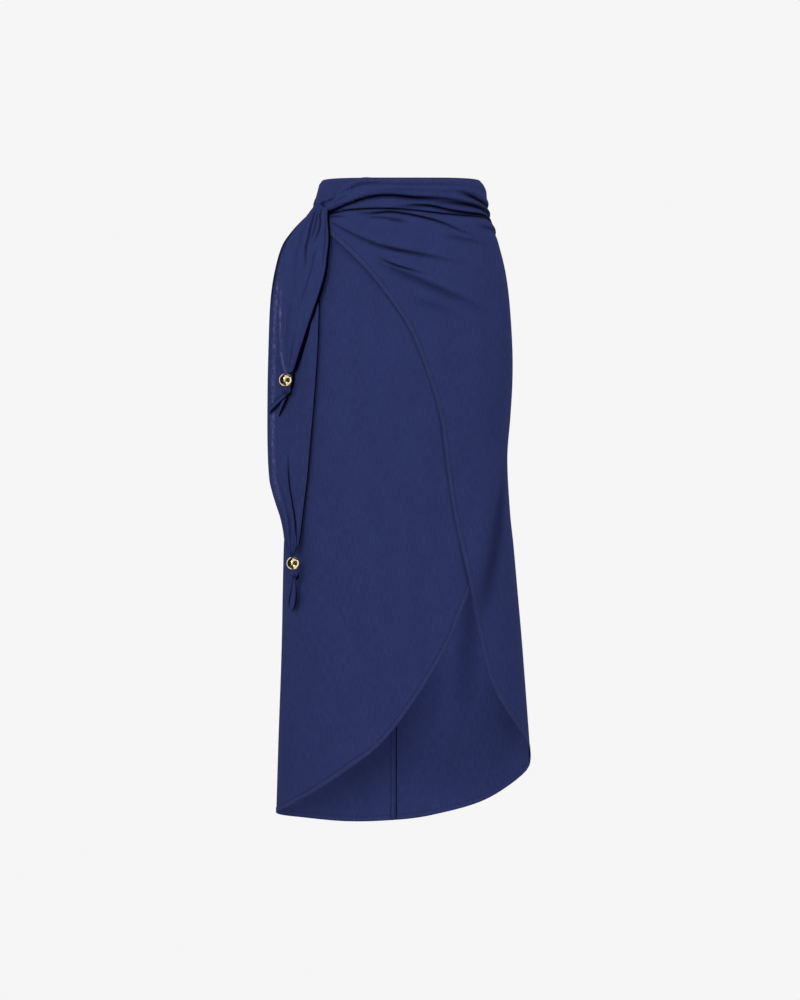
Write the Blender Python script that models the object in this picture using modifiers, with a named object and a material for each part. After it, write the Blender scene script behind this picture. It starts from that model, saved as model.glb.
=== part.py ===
"""Wrap skirt with two knotted ties, each with a metal bead.

Metres, +Z up. The skirt hangs as it is worn: its front faces -Y and its waist ring is level. The
origin is the centre of the waist ring, where the wearer's waist holds the skirt, WAIST_GRIP below
the waist edge.

A place on the skirt is an angle round the body, in degrees, and a drop, in metres down from the
waist edge. The angle is 0 at the front, 90 at the side the wrap is sewn to (+X), 180 at the back,
and -90 or 270 at the side where it is tied (-X).
"""

import math

import bmesh
import bpy
import numpy as np
from mathutils import Vector

COLLECTION = "wrap_skirt"

# Driving sizes
WAIST_GRIP = 0.015
WALL = 0.0013
SEAM_GAP = 0.0003
LAYER_STEP = 0.0026
BEAD_RADIUS = 0.0095
BEAD_HOLE = 0.0042

# Angles of the seams
WRAP_SIDE = 90.0
CENTRE_BACK = 183.5
TIE_SIDE = 270.0

# The worn form: half sizes of the level rings that the cloth lies on, from waist to hem
RING_POWER = 2.5
RING_COLUMNS = ("drop", "wrap_side", "tie_side", "front", "back")
RINGS = (
    (0.000, 0.1210, 0.1215, 0.090, 0.092),
    (0.035, 0.1245, 0.1265, 0.093, 0.096),
    (0.070, 0.1350, 0.1370, 0.099, 0.104),
    (0.126, 0.1500, 0.1520, 0.107, 0.115),
    (0.180, 0.1590, 0.1595, 0.111, 0.121),
    (0.233, 0.1635, 0.1635, 0.113, 0.125),
    (0.286, 0.1640, 0.1650, 0.114, 0.126),
    (0.340, 0.1610, 0.1660, 0.114, 0.126),
    (0.401, 0.1565, 0.1670, 0.114, 0.125),
    (0.481, 0.1605, 0.1690, 0.115, 0.125),
    (0.534, 0.1660, 0.1730, 0.116, 0.126),
    (0.711, 0.1810, 0.1770, 0.120, 0.130),
    (0.853, 0.1910, 0.1815, 0.123, 0.133),
    (0.950, 0.1960, 0.1850, 0.125, 0.135),
)

# Drop of the back's hem, from the wrap side round to the tie side
HEM_COLUMNS = ("angle", "drop")
BACK_HEM = (
    (90.0, 0.846),
    (110.0, 0.879),
    (134.0, 0.923),
    (160.0, 0.945),
    (183.5, 0.953),
    (214.0, 0.954),
    (242.0, 0.942),
    (270.0, 0.926),
)

# The waist edge and the free edge of each front. Each row is one share of the way from the tie
# side to the wrap side: where the cloth starts at the top, and where its free edge is
EDGE_COLUMNS = ("share", "top_angle", "top_drop", "angle", "drop")
OVER_EDGE = (
    (0.00, -67.0, 0.0400, -55.0, 0.0760),
    (0.06, -56.0, 0.0240, -41.4, 0.0994),
    (0.12, -44.7, 0.0067, -23.8, 0.1365),
    (0.18, -34.0, 0.0000, -8.0, 0.1771),
    (0.24, -24.0, 0.0000, 6.4, 0.2203),
    (0.32, -10.0, 0.0000, 19.0, 0.2860),
    (0.40, 3.0, 0.0000, 27.1, 0.3494),
    (0.52, 22.0, 0.0000, 33.7, 0.4643),
    (0.66, 43.0, 0.0000, 43.6, 0.5938),
    (0.80, 62.0, 0.0000, 52.9, 0.7237),
    (0.90, 76.0, 0.0000, 68.0, 0.7939),
    (1.00, 90.0, 0.0000, 90.0, 0.8460),
)
UNDER_EDGE = (
    (0.00, -90.0, 0.0, -90.0, 0.9260),
    (0.10, -74.0, 0.0, -72.0, 0.9160),
    (0.22, -54.0, 0.0, -53.1, 0.8894),
    (0.34, -34.0, 0.0, -34.7, 0.8545),
    (0.48, -10.0, 0.0, -13.9, 0.8153),
    (0.60, 11.0, 0.0, 8.0, 0.7560),
    (0.72, 33.0, 0.0, 29.8, 0.6767),
    (0.80, 48.0, 0.0, 43.6, 0.5967),
    (0.90, 68.0, 0.0, 66.0, 0.4700),
    (1.00, 87.0, 0.0, 87.0, 0.3600),
)

# The under front slips in behind the over front between these angles
TUCK_START = -78.0
TUCK_END = -52.0

# The gathers end at a line: its drop at each share across the over front, and round the back
GATHER_COLUMNS = ("share", "drop")
BACK_GATHER = 0.240
GATHER_LINE = (
    (0.00, 0.072),
    (0.12, 0.120),
    (0.24, 0.160),
    (0.40, 0.190),
    (0.66, 0.215),
    (1.00, BACK_GATHER),
)

# Rows of points: shares of the way down to the gather line, and even steps on to the free edge
GATHER_ROWS = (
    0.0, 0.05, 0.09, 0.12, 0.145, 0.17, 0.195, 0.22, 0.25, 0.28, 0.32,
    0.37, 0.43, 0.49, 0.55, 0.61, 0.67, 0.73, 0.79, 0.86, 0.93, 1.0,
)
PLAIN_ROWS = 10
PLAIN_STEP_GROWTH = 1.15
OVER_COLUMNS = 37
BACK_COLUMNS = 12
UNDER_COLUMNS = 28
UNDER_ROWS = 17
UNDER_STEP_GROWTH = 1.45

# Creases across the cloth, pulled towards the knot: each runs from one place to another with a
# bow, and has a groove with a ridge above it
CREASE_COLUMNS = ("angle", "drop", "end_angle", "end_drop", "bow", "width", "depth", "ridge")
CREASES = (
    (-57.0, 0.043, 36.0, 0.0280, -0.012, 0.0045, 0.0060, 0.0026),
    (-55.0, 0.046, 48.0, 0.0530, -0.004, 0.0038, 0.0044, 0.0016),
    (-28.0, 0.049, 52.0, 0.0820, -0.009, 0.0045, 0.0038, 0.0014),
    (36.0, 0.031, 118.0, 0.0520, 0.000, 0.0048, 0.0054, 0.0022),
    (4.0, 0.039, 104.0, 0.0640, -0.004, 0.0045, 0.0050, 0.0018),
    (52.0, 0.021, 112.0, 0.0360, 0.000, 0.0045, 0.0040, 0.0014),
    (-49.0, 0.066, 46.0, 0.1260, 0.006, 0.0060, 0.0040, 0.0018),
    (-16.0, 0.132, 56.0, 0.1920, 0.002, 0.0070, 0.0036, 0.0028),
    (-16.0, 0.115, 16.0, 0.1390, 0.002, 0.0045, 0.0020, 0.0006),
    (100.0, 0.074, 168.0, 0.0620, 0.006, 0.0055, 0.0034, 0.0014),
    (130.0, 0.040, 196.0, 0.0330, 0.003, 0.0050, 0.0030, 0.0012),
    (176.0, 0.056, 262.0, 0.0420, 0.005, 0.0055, 0.0038, 0.0014),
    (204.0, 0.086, 268.0, 0.0600, 0.003, 0.0065, 0.0034, 0.0014),
    (140.0, 0.130, 218.0, 0.1020, 0.006, 0.0090, 0.0028, 0.0014),
)
CREASE_LEAD = 0.15
CREASE_RISE = 0.12
CREASE_FALL = 0.72
RIDGE_PLACE = 2.1
RIDGE_SPREAD = 1.5

# Soft folds that run down the skirt, on the wrap side and at the back
FOLD_COLUMNS = ("drop", "angle", "end_drop", "end_angle", "width", "depth", "ridge")
FOLDS = (
    (0.400, 64.0, 0.600, 47.0, 5.0, 0.0030, 0.0030),
    (0.420, 128.0, 0.760, 140.0, 7.0, 0.0024, 0.0024),
    (0.500, 226.0, 0.820, 216.0, 7.0, 0.0024, 0.0024),
)
FOLD_LEAD = 0.25
FOLD_RISE = 0.30
FOLD_FALL = 0.70

# The gathered cloth stands out of the worn form round the waist: by how much, between which
# drops, and what share of it is left at the back and at the knot, between which angles
PUFF = 0.0042
PUFF_START = 0.014
PUFF_FADE = 0.100
PUFF_END = 0.235
BACK_PUFF = 0.65
BACK_PUFF_START = 120.0
BACK_PUFF_END = 180.0
KNOT_PUFF = 0.45
KNOT_PUFF_START = -60.0
KNOT_PUFF_END = -36.0
SEAM_FADE_START = 258.0
SEAM_FADE_END = 269.0
SOFTNESS = 0.00067

# The ties: the two sides of each at each drop, how far it stands out and how deep its pleats are
TIE_COLUMNS = ("drop", "left", "right", "out", "pleat")
LONG_TIE = (
    (0.0470, -0.1310, -0.1110, 0.0000, 0.0004),
    (0.0560, -0.1400, -0.1118, 0.0000, 0.0008),
    (0.0700, -0.1560, -0.1125, 0.0000, 0.0010),
    (0.0910, -0.1735, -0.1140, 0.0000, 0.0012),
    (0.1280, -0.1835, -0.1160, 0.0000, 0.0016),
    (0.1720, -0.1900, -0.1185, 0.0000, 0.0012),
    (0.2450, -0.1930, -0.1210, 0.0000, 0.0012),
    (0.3180, -0.1945, -0.1260, 0.0000, 0.0014),
    (0.3910, -0.1945, -0.1325, 0.0000, 0.0018),
    (0.4350, -0.1920, -0.1365, 0.0000, 0.0024),
    (0.4700, -0.1840, -0.1410, 0.0008, 0.0030),
    (0.5050, -0.1745, -0.1450, 0.0030, 0.0032),
    (0.5300, -0.1675, -0.1490, 0.0065, 0.0024),
    (0.5430, -0.1599, -0.1553, 0.0108, 0.0000),
    (0.5545, -0.1598, -0.1554, 0.0113, 0.0000),
)
SHORT_TIE = (
    (0.0464, -0.1310, -0.1060, 0.0056, 0.0014),
    (0.0640, -0.1500, -0.1050, 0.0084, 0.0030),
    (0.0900, -0.1660, -0.1036, 0.0088, 0.0032),
    (0.1040, -0.1725, -0.1045, 0.0090, 0.0028),
    (0.1380, -0.1765, -0.1100, 0.0090, 0.0018),
    (0.1630, -0.1772, -0.1173, 0.0085, 0.0014),
    (0.1820, -0.1770, -0.1265, 0.0085, 0.0012),
    (0.2040, -0.1765, -0.1335, 0.0085, 0.0014),
    (0.2250, -0.1758, -0.1405, 0.0090, 0.0018),
    (0.2470, -0.1750, -0.1477, 0.0100, 0.0024),
    (0.2650, -0.1735, -0.1525, 0.0120, 0.0022),
    (0.2780, -0.1695, -0.1637, 0.0140, 0.0002),
    (0.2893, -0.1694, -0.1638, 0.0145, 0.0000),
)
TIE_LIFT = 0.0062
TIE_LEAN = 0.72
TIE_PLEATS = 3.5
TIE_SIDE_COLUMNS = 14
ROWS_PER_SECTION = 2

# Rolls of cloth, by sections along a middle line: place is an x on the ties, or an angle
ROLL_COLUMNS = ("place", "drop", "out", "half_width", "half_depth")
SHORT_END = (
    (-0.1666, 0.2897, 0.0145, 0.0032, 0.0030),
    (-0.1666, 0.2980, 0.0145, 0.0032, 0.0030),
    (-0.1650, 0.3045, 0.0145, 0.0054, 0.0054),
    (-0.1640, 0.3095, 0.0145, 0.0058, 0.0060),
    (-0.1675, 0.3135, 0.0135, 0.0036, 0.0034),
    (-0.1740, 0.3180, 0.0120, 0.0058, 0.0014),
    (-0.1830, 0.3235, 0.0105, 0.0066, 0.0009),
    (-0.1905, 0.3300, 0.0095, 0.0042, 0.0008),
    (-0.1935, 0.3350, 0.0090, 0.0010, 0.0007),
)
LONG_END = (
    (-0.1576, 0.5549, 0.0110, 0.0031, 0.0030),
    (-0.1576, 0.5630, 0.0110, 0.0031, 0.0030),
    (-0.1562, 0.5695, 0.0105, 0.0054, 0.0052),
    (-0.1545, 0.5745, 0.0100, 0.0056, 0.0056),
    (-0.1535, 0.5800, 0.0095, 0.0030, 0.0034),
    (-0.1555, 0.5890, 0.0085, 0.0050, 0.0014),
    (-0.1565, 0.6010, 0.0080, 0.0060, 0.0009),
    (-0.1570, 0.6130, 0.0075, 0.0048, 0.0008),
    (-0.1590, 0.6225, 0.0070, 0.0010, 0.0007),
)
KNOT = (
    (-46.5, 0.0262, 0.0082, 0.0050, 0.0018),
    (-50.5, 0.0298, 0.0104, 0.0086, 0.0038),
    (-55.0, 0.0322, 0.0124, 0.0102, 0.0054),
    (-59.5, 0.0332, 0.0134, 0.0112, 0.0062),
    (-63.4, 0.0350, 0.0134, 0.0112, 0.0062),
    (-66.0, 0.0386, 0.0122, 0.0096, 0.0054),
    (-67.2, 0.0424, 0.0104, 0.0080, 0.0038),
)
END_SIDES = 10
KNOT_SIDES = 28
KNOT_PLEATS = 7
KNOT_PLEAT = 0.09
KNOT_TWIST = 1.2

# The band from the side seam to the knot
ROOT_START = -89.8
ROOT_END = -67.2
ROOT_COLUMNS = ("across", "top", "bottom", "out", "pleat")
ROOT = (
    (0.0, 0.020, 0.062, 0.0024, 0.0000),
    (0.5, 0.028, 0.053, 0.0038, 0.0009),
    (1.0, 0.034, 0.047, 0.0046, 0.0012),
)
ROOT_PLEATS = 2.5
ROOT_ACROSS = 6
ROOT_DOWN = 12

# Beads
BEAD_PROFILE_STEPS = 10
BEAD_TURN_STEPS = 20

# Points closer than these are merged, and the share of a roll over which its direction is taken
MERGE = 0.00002
SCREW_MERGE = 0.00001
PATH_STEP = 0.02

# Colours and finishes
CLOTH_COLOUR = (0.023, 0.031, 0.112, 1.0)
CLOTH_ROUGHNESS = 0.85
METAL_COLOUR = (0.86, 0.62, 0.24, 1.0)
METAL_ROUGHNESS = 0.12


def start_scene():
    for old in list(bpy.data.objects):
        bpy.data.objects.remove(old, do_unlink=True)
    for old in list(bpy.data.collections):
        bpy.data.collections.remove(old)
    collection = bpy.data.collections.new(COLLECTION)
    bpy.context.scene.collection.children.link(collection)


def mix(a, b, share):
    return a + (b - a) * share


def smooth(low, high, value):
    """0 below low, 1 above high and a smooth rise between them."""
    share = min(max((value - low) / (high - low), 0.0), 1.0)
    return share * share * (3 - 2 * share)


def read(table, columns, name, at):
    """A column of a table at a place in its first column, on a smooth curve through the rows."""
    column = columns.index(name)
    places = [row[0] for row in table]
    values = [row[column] for row in table]
    last = len(table) - 1
    at = min(max(at, places[0]), places[last])
    low = 0
    while low < last - 1 and at > places[low + 1]:
        low += 1

    def slope(row):
        before = max(row - 1, 0)
        after = min(row + 1, last)
        return (values[after] - values[before]) / (places[after] - places[before])

    span = places[low + 1] - places[low]
    t = (at - places[low]) / span
    start = (2 * t**3 - 3 * t**2 + 1) * values[low] + (t**3 - 2 * t**2 + t) * span * slope(low)
    end = (3 * t**2 - 2 * t**3) * values[low + 1] + (t**3 - t**2) * span * slope(low + 1)
    return start + end


def row_of(table, columns, share):
    """All the columns of a table at a share of the way down its rows, on smooth curves."""
    last = len(table) - 1
    low = min(int(share * last), last - 1)
    t = share * last - low
    rows = [table[min(max(low + step, 0), last)] for step in (-1, 0, 1, 2)]
    weights = (
        (2 * t**2 - t - t**3) / 2,
        (2 - 5 * t**2 + 3 * t**3) / 2,
        (t + 4 * t**2 - 3 * t**3) / 2,
        (t**3 - t**2) / 2,
    )
    values = np.array(weights) @ np.array(rows)
    return dict(zip(columns, values.tolist()))


def ring_axes(side, front, drop):
    """Half width and half depth of the ring at this drop, on the side and face asked for."""
    half_width = read(RINGS, RING_COLUMNS, "wrap_side" if side > 0 else "tie_side", drop)
    half_depth = read(RINGS, RING_COLUMNS, "front" if front else "back", drop)
    return half_width, half_depth


def on_skirt(angle, drop, out=0.0):
    """The point at this angle and drop, moved out of the worn form by a distance."""
    side = math.sin(math.radians(angle))
    ahead = math.cos(math.radians(angle))
    half_width, half_depth = ring_axes(side, ahead >= 0, drop)
    across = abs(side / half_width) ** RING_POWER + abs(ahead / half_depth) ** RING_POWER
    radius = across ** (-1 / RING_POWER)
    x = radius * side
    y = -radius * ahead
    normal_x = math.copysign(abs(x / half_width) ** (RING_POWER - 1) / half_width, x)
    normal_y = math.copysign(abs(y / half_depth) ** (RING_POWER - 1) / half_depth, y)
    normal = Vector((normal_x, normal_y, 0.0)).normalized()
    return Vector((x, y, WAIST_GRIP - drop)) + normal * out


def front_depth(x, drop):
    """The worn form's front at a distance x from the middle: its y there, and its slope."""
    half_width, half_depth = ring_axes(x, True, drop)
    depth = half_depth * (1 - abs(x / half_width) ** RING_POWER) ** (1 / RING_POWER)
    slope = (half_depth / half_width) ** RING_POWER * abs(x / depth) ** (RING_POWER - 1)
    return -depth, slope


def on_ties(x, drop, out=0.0):
    """A point of the sheet that the ties hang in. It lies on the skirt at the long tie's right
    side, and from there it leans back less than the skirt does, so that it hangs clear of it."""
    rest = read(LONG_TIE, TIE_COLUMNS, "right", drop)
    y, slope = front_depth(rest, drop)
    lean = slope * TIE_LEAN
    if x > rest:
        y = front_depth(x, drop)[0]
    else:
        y += (rest - x) * lean
    return Vector((x, y - (TIE_LIFT + out) * math.hypot(1.0, lean), WAIST_GRIP - drop))


def crease(row, angle, drop):
    """How far one crease moves the cloth: in along its line, and out just above it."""
    now = dict(zip(CREASE_COLUMNS, row))
    share = (angle - now["angle"]) / (now["end_angle"] - now["angle"])
    if not -CREASE_LEAD < share < 1 + CREASE_LEAD:
        return 0.0
    line = mix(now["drop"], now["end_drop"], share) + 4 * now["bow"] * share * (1 - share)
    above = (line - drop) / now["width"]
    fade = smooth(-CREASE_LEAD, CREASE_RISE, share)
    fade *= 1 - smooth(CREASE_FALL, 1 + CREASE_LEAD, share)
    groove = -now["depth"] * math.exp(-(above**2))
    ridge = now["ridge"] * math.exp(-(((above - RIDGE_PLACE) / RIDGE_SPREAD) ** 2))
    return fade * (groove + ridge)


def fold(row, angle, drop):
    """How far one fold that runs down the skirt moves the cloth: in, and out beside it."""
    now = dict(zip(FOLD_COLUMNS, row))
    share = (drop - now["drop"]) / (now["end_drop"] - now["drop"])
    if not -FOLD_LEAD < share < 1 + FOLD_LEAD:
        return 0.0
    aside = (angle - mix(now["angle"], now["end_angle"], share)) / now["width"]
    fade = smooth(-FOLD_LEAD, FOLD_RISE, share)
    fade *= 1 - smooth(FOLD_FALL, 1 + FOLD_LEAD, share)
    groove = -now["depth"] * math.exp(-(aside**2))
    ridge = now["ridge"] * math.exp(-(((aside + RIDGE_PLACE) / RIDGE_SPREAD) ** 2))
    return fade * (groove + ridge)


def relief(angle, drop):
    """How far the cloth stands out of the worn form, from -90 at the tie side round to 270. It is
    never below the form, and it ends at the tie side's seam."""
    rise = PUFF * smooth(0.0, PUFF_START, drop) * (1 - smooth(PUFF_FADE, PUFF_END, drop))
    rise *= mix(1.0, BACK_PUFF, smooth(BACK_PUFF_START, BACK_PUFF_END, angle))
    rise *= mix(KNOT_PUFF, 1.0, smooth(KNOT_PUFF_START, KNOT_PUFF_END, angle))
    for row in CREASES:
        rise += crease(row, angle, drop)
    for row in FOLDS:
        rise += fold(row, angle, drop)
    rise = SOFTNESS * math.log1p(math.exp(rise / SOFTNESS))
    return rise * (1 - smooth(SEAM_FADE_START, SEAM_FADE_END, angle))


def seam_angle(angle, drop):
    """The angle that half a seam's gap spans."""
    return math.degrees(SEAM_GAP / 2 / on_skirt(angle, drop).xy.length)


def new_object(name, mesh, material):
    mesh.materials.append(material)
    piece = bpy.data.objects.new(name, mesh)
    bpy.data.collections[COLLECTION].objects.link(piece)
    return piece


def finished_mesh(name, shape):
    mesh = bpy.data.meshes.new(name)
    shape.to_mesh(mesh)
    shape.free()
    mesh.shade_smooth()
    return mesh


def sheet(name, columns, rows, place, material):
    """A wall of cloth: a grid moved onto a surface, then thickened inwards. place takes the share
    across, from the tie side to the wrap side as seen from outside, and the share up."""
    shape = bmesh.new()
    bmesh.ops.create_grid(shape, x_segments=columns, y_segments=rows, size=0.5)
    for vertex in shape.verts:
        vertex.co = place(vertex.co.x + 0.5, vertex.co.y + 0.5)
    piece = new_object(name, finished_mesh(name, shape), material)
    solidify = piece.modifiers.new("wall", "SOLIDIFY")
    solidify.thickness = WALL
    solidify.offset = -1.0
    return piece


def roll(name, table, locate, sides, material, pleats=0, pleat=0.0, twist=0.0):
    """A closed roll of cloth: a grid wrapped round a middle line, with its ends filled. It may have
    pleats along it, whose depth is a share of its own, and they may twist round it."""

    def middle(share):
        now = row_of(table, ROLL_COLUMNS, share)
        return locate(now["place"], now["drop"], now["out"])

    shape = bmesh.new()
    rings = ROWS_PER_SECTION * (len(table) - 1)
    bmesh.ops.create_grid(shape, x_segments=sides, y_segments=rings, size=0.5)
    for vertex in shape.verts:
        share = vertex.co.y + 0.5
        turn = 2 * math.pi * (vertex.co.x + 0.5)
        swell = 1 + pleat * math.cos(pleats * turn)
        turn += twist * share
        now = row_of(table, ROLL_COLUMNS, share)
        outward = (middle(share) - locate(now["place"], now["drop"], 0.0)).normalized()
        path = middle(min(share + PATH_STEP, 1.0)) - middle(max(share - PATH_STEP, 0.0))
        wide = path.cross(outward).normalized() * now["half_width"] * math.cos(turn)
        deep = outward * now["half_depth"] * math.sin(turn)
        vertex.co = middle(share) + (wide + deep) * swell
    bmesh.ops.remove_doubles(shape, verts=shape.verts, dist=MERGE)
    ends = [edge for edge in shape.edges if edge.is_boundary]
    bmesh.ops.holes_fill(shape, edges=ends, sides=0)
    bmesh.ops.recalc_face_normals(shape, faces=shape.faces)
    return new_object(name, finished_mesh(name, shape), material)


def edge_place(edge, across, down):
    """A place on a front: a share of the way from its waist edge down to its free edge."""
    top_drop = read(edge, EDGE_COLUMNS, "top_drop", across)
    top_angle = read(edge, EDGE_COLUMNS, "top_angle", across)
    angle = mix(top_angle, read(edge, EDGE_COLUMNS, "angle", across), down)
    drop = mix(top_drop, read(edge, EDGE_COLUMNS, "drop", across), down)
    return angle, drop


def gathered_rows():
    """Where the rows of a gathered panel lie: 0 at its top, 1 at the gather line, 2 at its edge."""
    return list(GATHER_ROWS) + [1 + (row + 1) / PLAIN_ROWS for row in range(PLAIN_ROWS)]


def row_drop(row, top, gather, edge):
    if row > 1:
        return mix(gather, edge, (row - 1) ** PLAIN_STEP_GROWTH)
    return mix(top, gather, row)


def make_under_front(cloth):
    def place(across, up):
        angle, drop = edge_place(UNDER_EDGE, across, (1 - up) ** UNDER_STEP_GROWTH)
        angle += (1 - across) * seam_angle(angle, drop)
        return on_skirt(angle, drop, -LAYER_STEP * smooth(TUCK_START, TUCK_END, angle))

    return sheet("under_front", UNDER_COLUMNS, UNDER_ROWS, place, cloth)


def make_over_front(cloth):
    rows = gathered_rows()
    last = len(rows) - 1

    def place(across, up):
        top = read(OVER_EDGE, EDGE_COLUMNS, "top_drop", across)
        edge = read(OVER_EDGE, EDGE_COLUMNS, "drop", across)
        gather = read(GATHER_LINE, GATHER_COLUMNS, "drop", across)
        drop = row_drop(rows[round((1 - up) * last)], top, gather, edge)
        angle, drop = edge_place(OVER_EDGE, across, (drop - top) / (edge - top))
        angle -= across * seam_angle(angle, drop)
        return on_skirt(angle, drop, relief(angle, drop))

    return sheet("over_front", OVER_COLUMNS, last, place, cloth)


def make_back(name, start, end, cloth):
    rows = gathered_rows()
    last = len(rows) - 1

    def place(across, up):
        angle = mix(end, start, across)
        hem = read(BACK_HEM, HEM_COLUMNS, "drop", angle)
        drop = row_drop(rows[round((1 - up) * last)], 0.0, BACK_GATHER, hem)
        angle += (2 * across - 1) * seam_angle(angle, drop)
        return on_skirt(angle, drop, relief(angle, drop))

    return sheet(name, BACK_COLUMNS, last, place, cloth)


def make_tie(name, table, cloth):
    def place(across, up):
        now = row_of(table, TIE_COLUMNS, 1 - up)
        ripple = now["pleat"] * math.cos(2 * math.pi * TIE_PLEATS * across)
        x = mix(now["left"], now["right"], across)
        return on_ties(x, now["drop"], now["out"] + ripple)

    rows = ROWS_PER_SECTION * (len(table) - 1)
    return sheet(name, TIE_SIDE_COLUMNS, rows, place, cloth)


def make_tie_root(cloth):
    def place(across, up):
        top = read(ROOT, ROOT_COLUMNS, "top", across)
        bottom = read(ROOT, ROOT_COLUMNS, "bottom", across)
        pleat = read(ROOT, ROOT_COLUMNS, "pleat", across)
        ripple = pleat * math.cos(2 * math.pi * ROOT_PLEATS * up)
        out = read(ROOT, ROOT_COLUMNS, "out", across)
        return on_skirt(mix(ROOT_START, ROOT_END, across), mix(bottom, top, up), out + ripple)

    return sheet("tie_root", ROOT_ACROSS, ROOT_DOWN, place, cloth)


def make_bead(name, end, metal):
    """A round bead with a hole down its middle, where its tie goes through: a turned profile."""
    threaded = dict(zip(ROLL_COLUMNS, end[0]))
    rim = math.asin(BEAD_HOLE / BEAD_RADIUS)
    shape = bmesh.new()
    verts = []
    for step in range(BEAD_PROFILE_STEPS + 1):
        turn = mix(rim, math.pi - rim, step / BEAD_PROFILE_STEPS)
        point = (BEAD_RADIUS * math.sin(turn), 0.0, BEAD_RADIUS * math.cos(turn))
        verts.append(shape.verts.new(point))
    for first, second in zip(verts, verts[1:] + verts[:1]):
        shape.edges.new((first, second))
    piece = new_object(name, finished_mesh(name, shape), metal)
    piece.location = on_ties(threaded["place"], threaded["drop"], threaded["out"])
    screw = piece.modifiers.new("turn", "SCREW")
    screw.steps = BEAD_TURN_STEPS
    screw.render_steps = BEAD_TURN_STEPS
    screw.use_merge_vertices = True
    screw.merge_threshold = SCREW_MERGE
    screw.use_smooth_shade = True
    return piece


def new_material(name, colour, roughness, metallic):
    material = bpy.data.materials.new(name)
    material.use_nodes = True
    shader = material.node_tree.nodes["Principled BSDF"]
    shader.inputs["Base Color"].default_value = colour
    shader.inputs["Roughness"].default_value = roughness
    shader.inputs["Metallic"].default_value = metallic
    return material


def cloth_of(name):
    return new_material(name + "_cloth", CLOTH_COLOUR, CLOTH_ROUGHNESS, 0.0)


def metal_of(name):
    return new_material(name + "_metal", METAL_COLOUR, METAL_ROUGHNESS, 1.0)


def main():
    start_scene()
    make_back("back_right", WRAP_SIDE, CENTRE_BACK, cloth_of("back_right"))
    make_back("back_left", CENTRE_BACK, TIE_SIDE, cloth_of("back_left"))
    make_under_front(cloth_of("under_front"))
    make_over_front(cloth_of("over_front"))
    make_tie_root(cloth_of("tie_root"))
    roll(
        "tie_knot",
        KNOT,
        on_skirt,
        KNOT_SIDES,
        cloth_of("tie_knot"),
        pleats=KNOT_PLEATS,
        pleat=KNOT_PLEAT,
        twist=KNOT_TWIST,
    )
    make_tie("short_tie", SHORT_TIE, cloth_of("short_tie"))
    make_tie("long_tie", LONG_TIE, cloth_of("long_tie"))
    make_bead("short_bead", SHORT_END, metal_of("short_bead"))
    make_bead("long_bead", LONG_END, metal_of("long_bead"))
    roll("short_tie_end", SHORT_END, on_ties, END_SIDES, cloth_of("short_tie_end"))
    roll("long_tie_end", LONG_END, on_ties, END_SIDES, cloth_of("long_tie_end"))


main()
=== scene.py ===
"""Wrap skirt, dressed: fine cloth, knot, hanging ties, beads and a pale studio round them.

Metres, +Z up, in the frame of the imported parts: the front faces -Y and the waist ring is level,
WAIST_GRIP above the origin. A place on the skirt is an angle round the body, in degrees, and a
drop, in metres down from the waist edge. The angle is 0 at the front, 90 at the side that the wrap
is sewn to (+X), 180 at the back, and -90 or 270 at the side where it is tied (-X).
"""

import math

import bmesh
import bpy
import numpy as np
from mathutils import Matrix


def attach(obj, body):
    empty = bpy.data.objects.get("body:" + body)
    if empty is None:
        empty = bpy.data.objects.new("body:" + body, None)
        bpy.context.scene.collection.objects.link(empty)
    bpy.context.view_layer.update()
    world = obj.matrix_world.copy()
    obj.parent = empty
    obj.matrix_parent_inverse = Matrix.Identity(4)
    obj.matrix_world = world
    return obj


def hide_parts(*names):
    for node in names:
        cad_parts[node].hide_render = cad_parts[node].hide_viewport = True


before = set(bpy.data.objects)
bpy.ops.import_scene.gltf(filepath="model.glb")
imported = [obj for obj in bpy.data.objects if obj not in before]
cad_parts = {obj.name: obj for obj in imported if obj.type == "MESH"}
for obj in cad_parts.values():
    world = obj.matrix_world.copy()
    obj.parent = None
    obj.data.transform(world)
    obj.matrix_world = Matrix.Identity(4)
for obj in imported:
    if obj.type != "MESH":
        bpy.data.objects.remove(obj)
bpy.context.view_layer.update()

bl_info = {
    "name": "Wrap Skirt",
    "version": (1, 0, 0),
    "blender": (4, 5, 0),
    "location": "3D View > Sidebar > Wrap Skirt",
    "description": "Makes a worn wrap skirt with pulled creases, a knot, two ties and metal beads",
    "category": "Add Mesh",
}

BODY = "root"
CLOTH_SLOT = "skirt_cloth"
METAL_SLOT = "bead_metal"
MM = 0.001

# ---------------------------------------------------------------------------------------------
# The worn form and the panels' edges
# ---------------------------------------------------------------------------------------------

WAIST_GRIP = 0.015
SEAM_GAP = 0.0003
# How far the under front drops behind the over front
LAYER_STEP = 0.0011
# The beads and their holes, a little smaller than in the parts, and the hole's rounded rim: how much
# wider than the hole it is, and how far in from the bead's end
BEAD_RADIUS = 0.0093
BEAD_HOLE = 0.0037
BEAD_RIM = ((0.00025, 0.00005), (0.00005, 0.00025), (0.0, 0.0006))
# The round part stops this angle short of the hole's rim; its steps, its sides, and the distance
# under which two corners are one
RIM_TURN = 0.05
BEAD_STEPS, BEAD_SIDES = 44, 72
SAME_POINT = 0.000001
# Radii that turn an angle into a length along the cloth: round the hip, for the soft swells, and round
# the waist
CLOTH_RADIUS = 0.17
SWELL_RADIUS = 0.16
WAIST_RADIUS = 0.12

WRAP_SIDE = 90.0
CENTRE_BACK = 183.5
TIE_SIDE = 270.0

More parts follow.
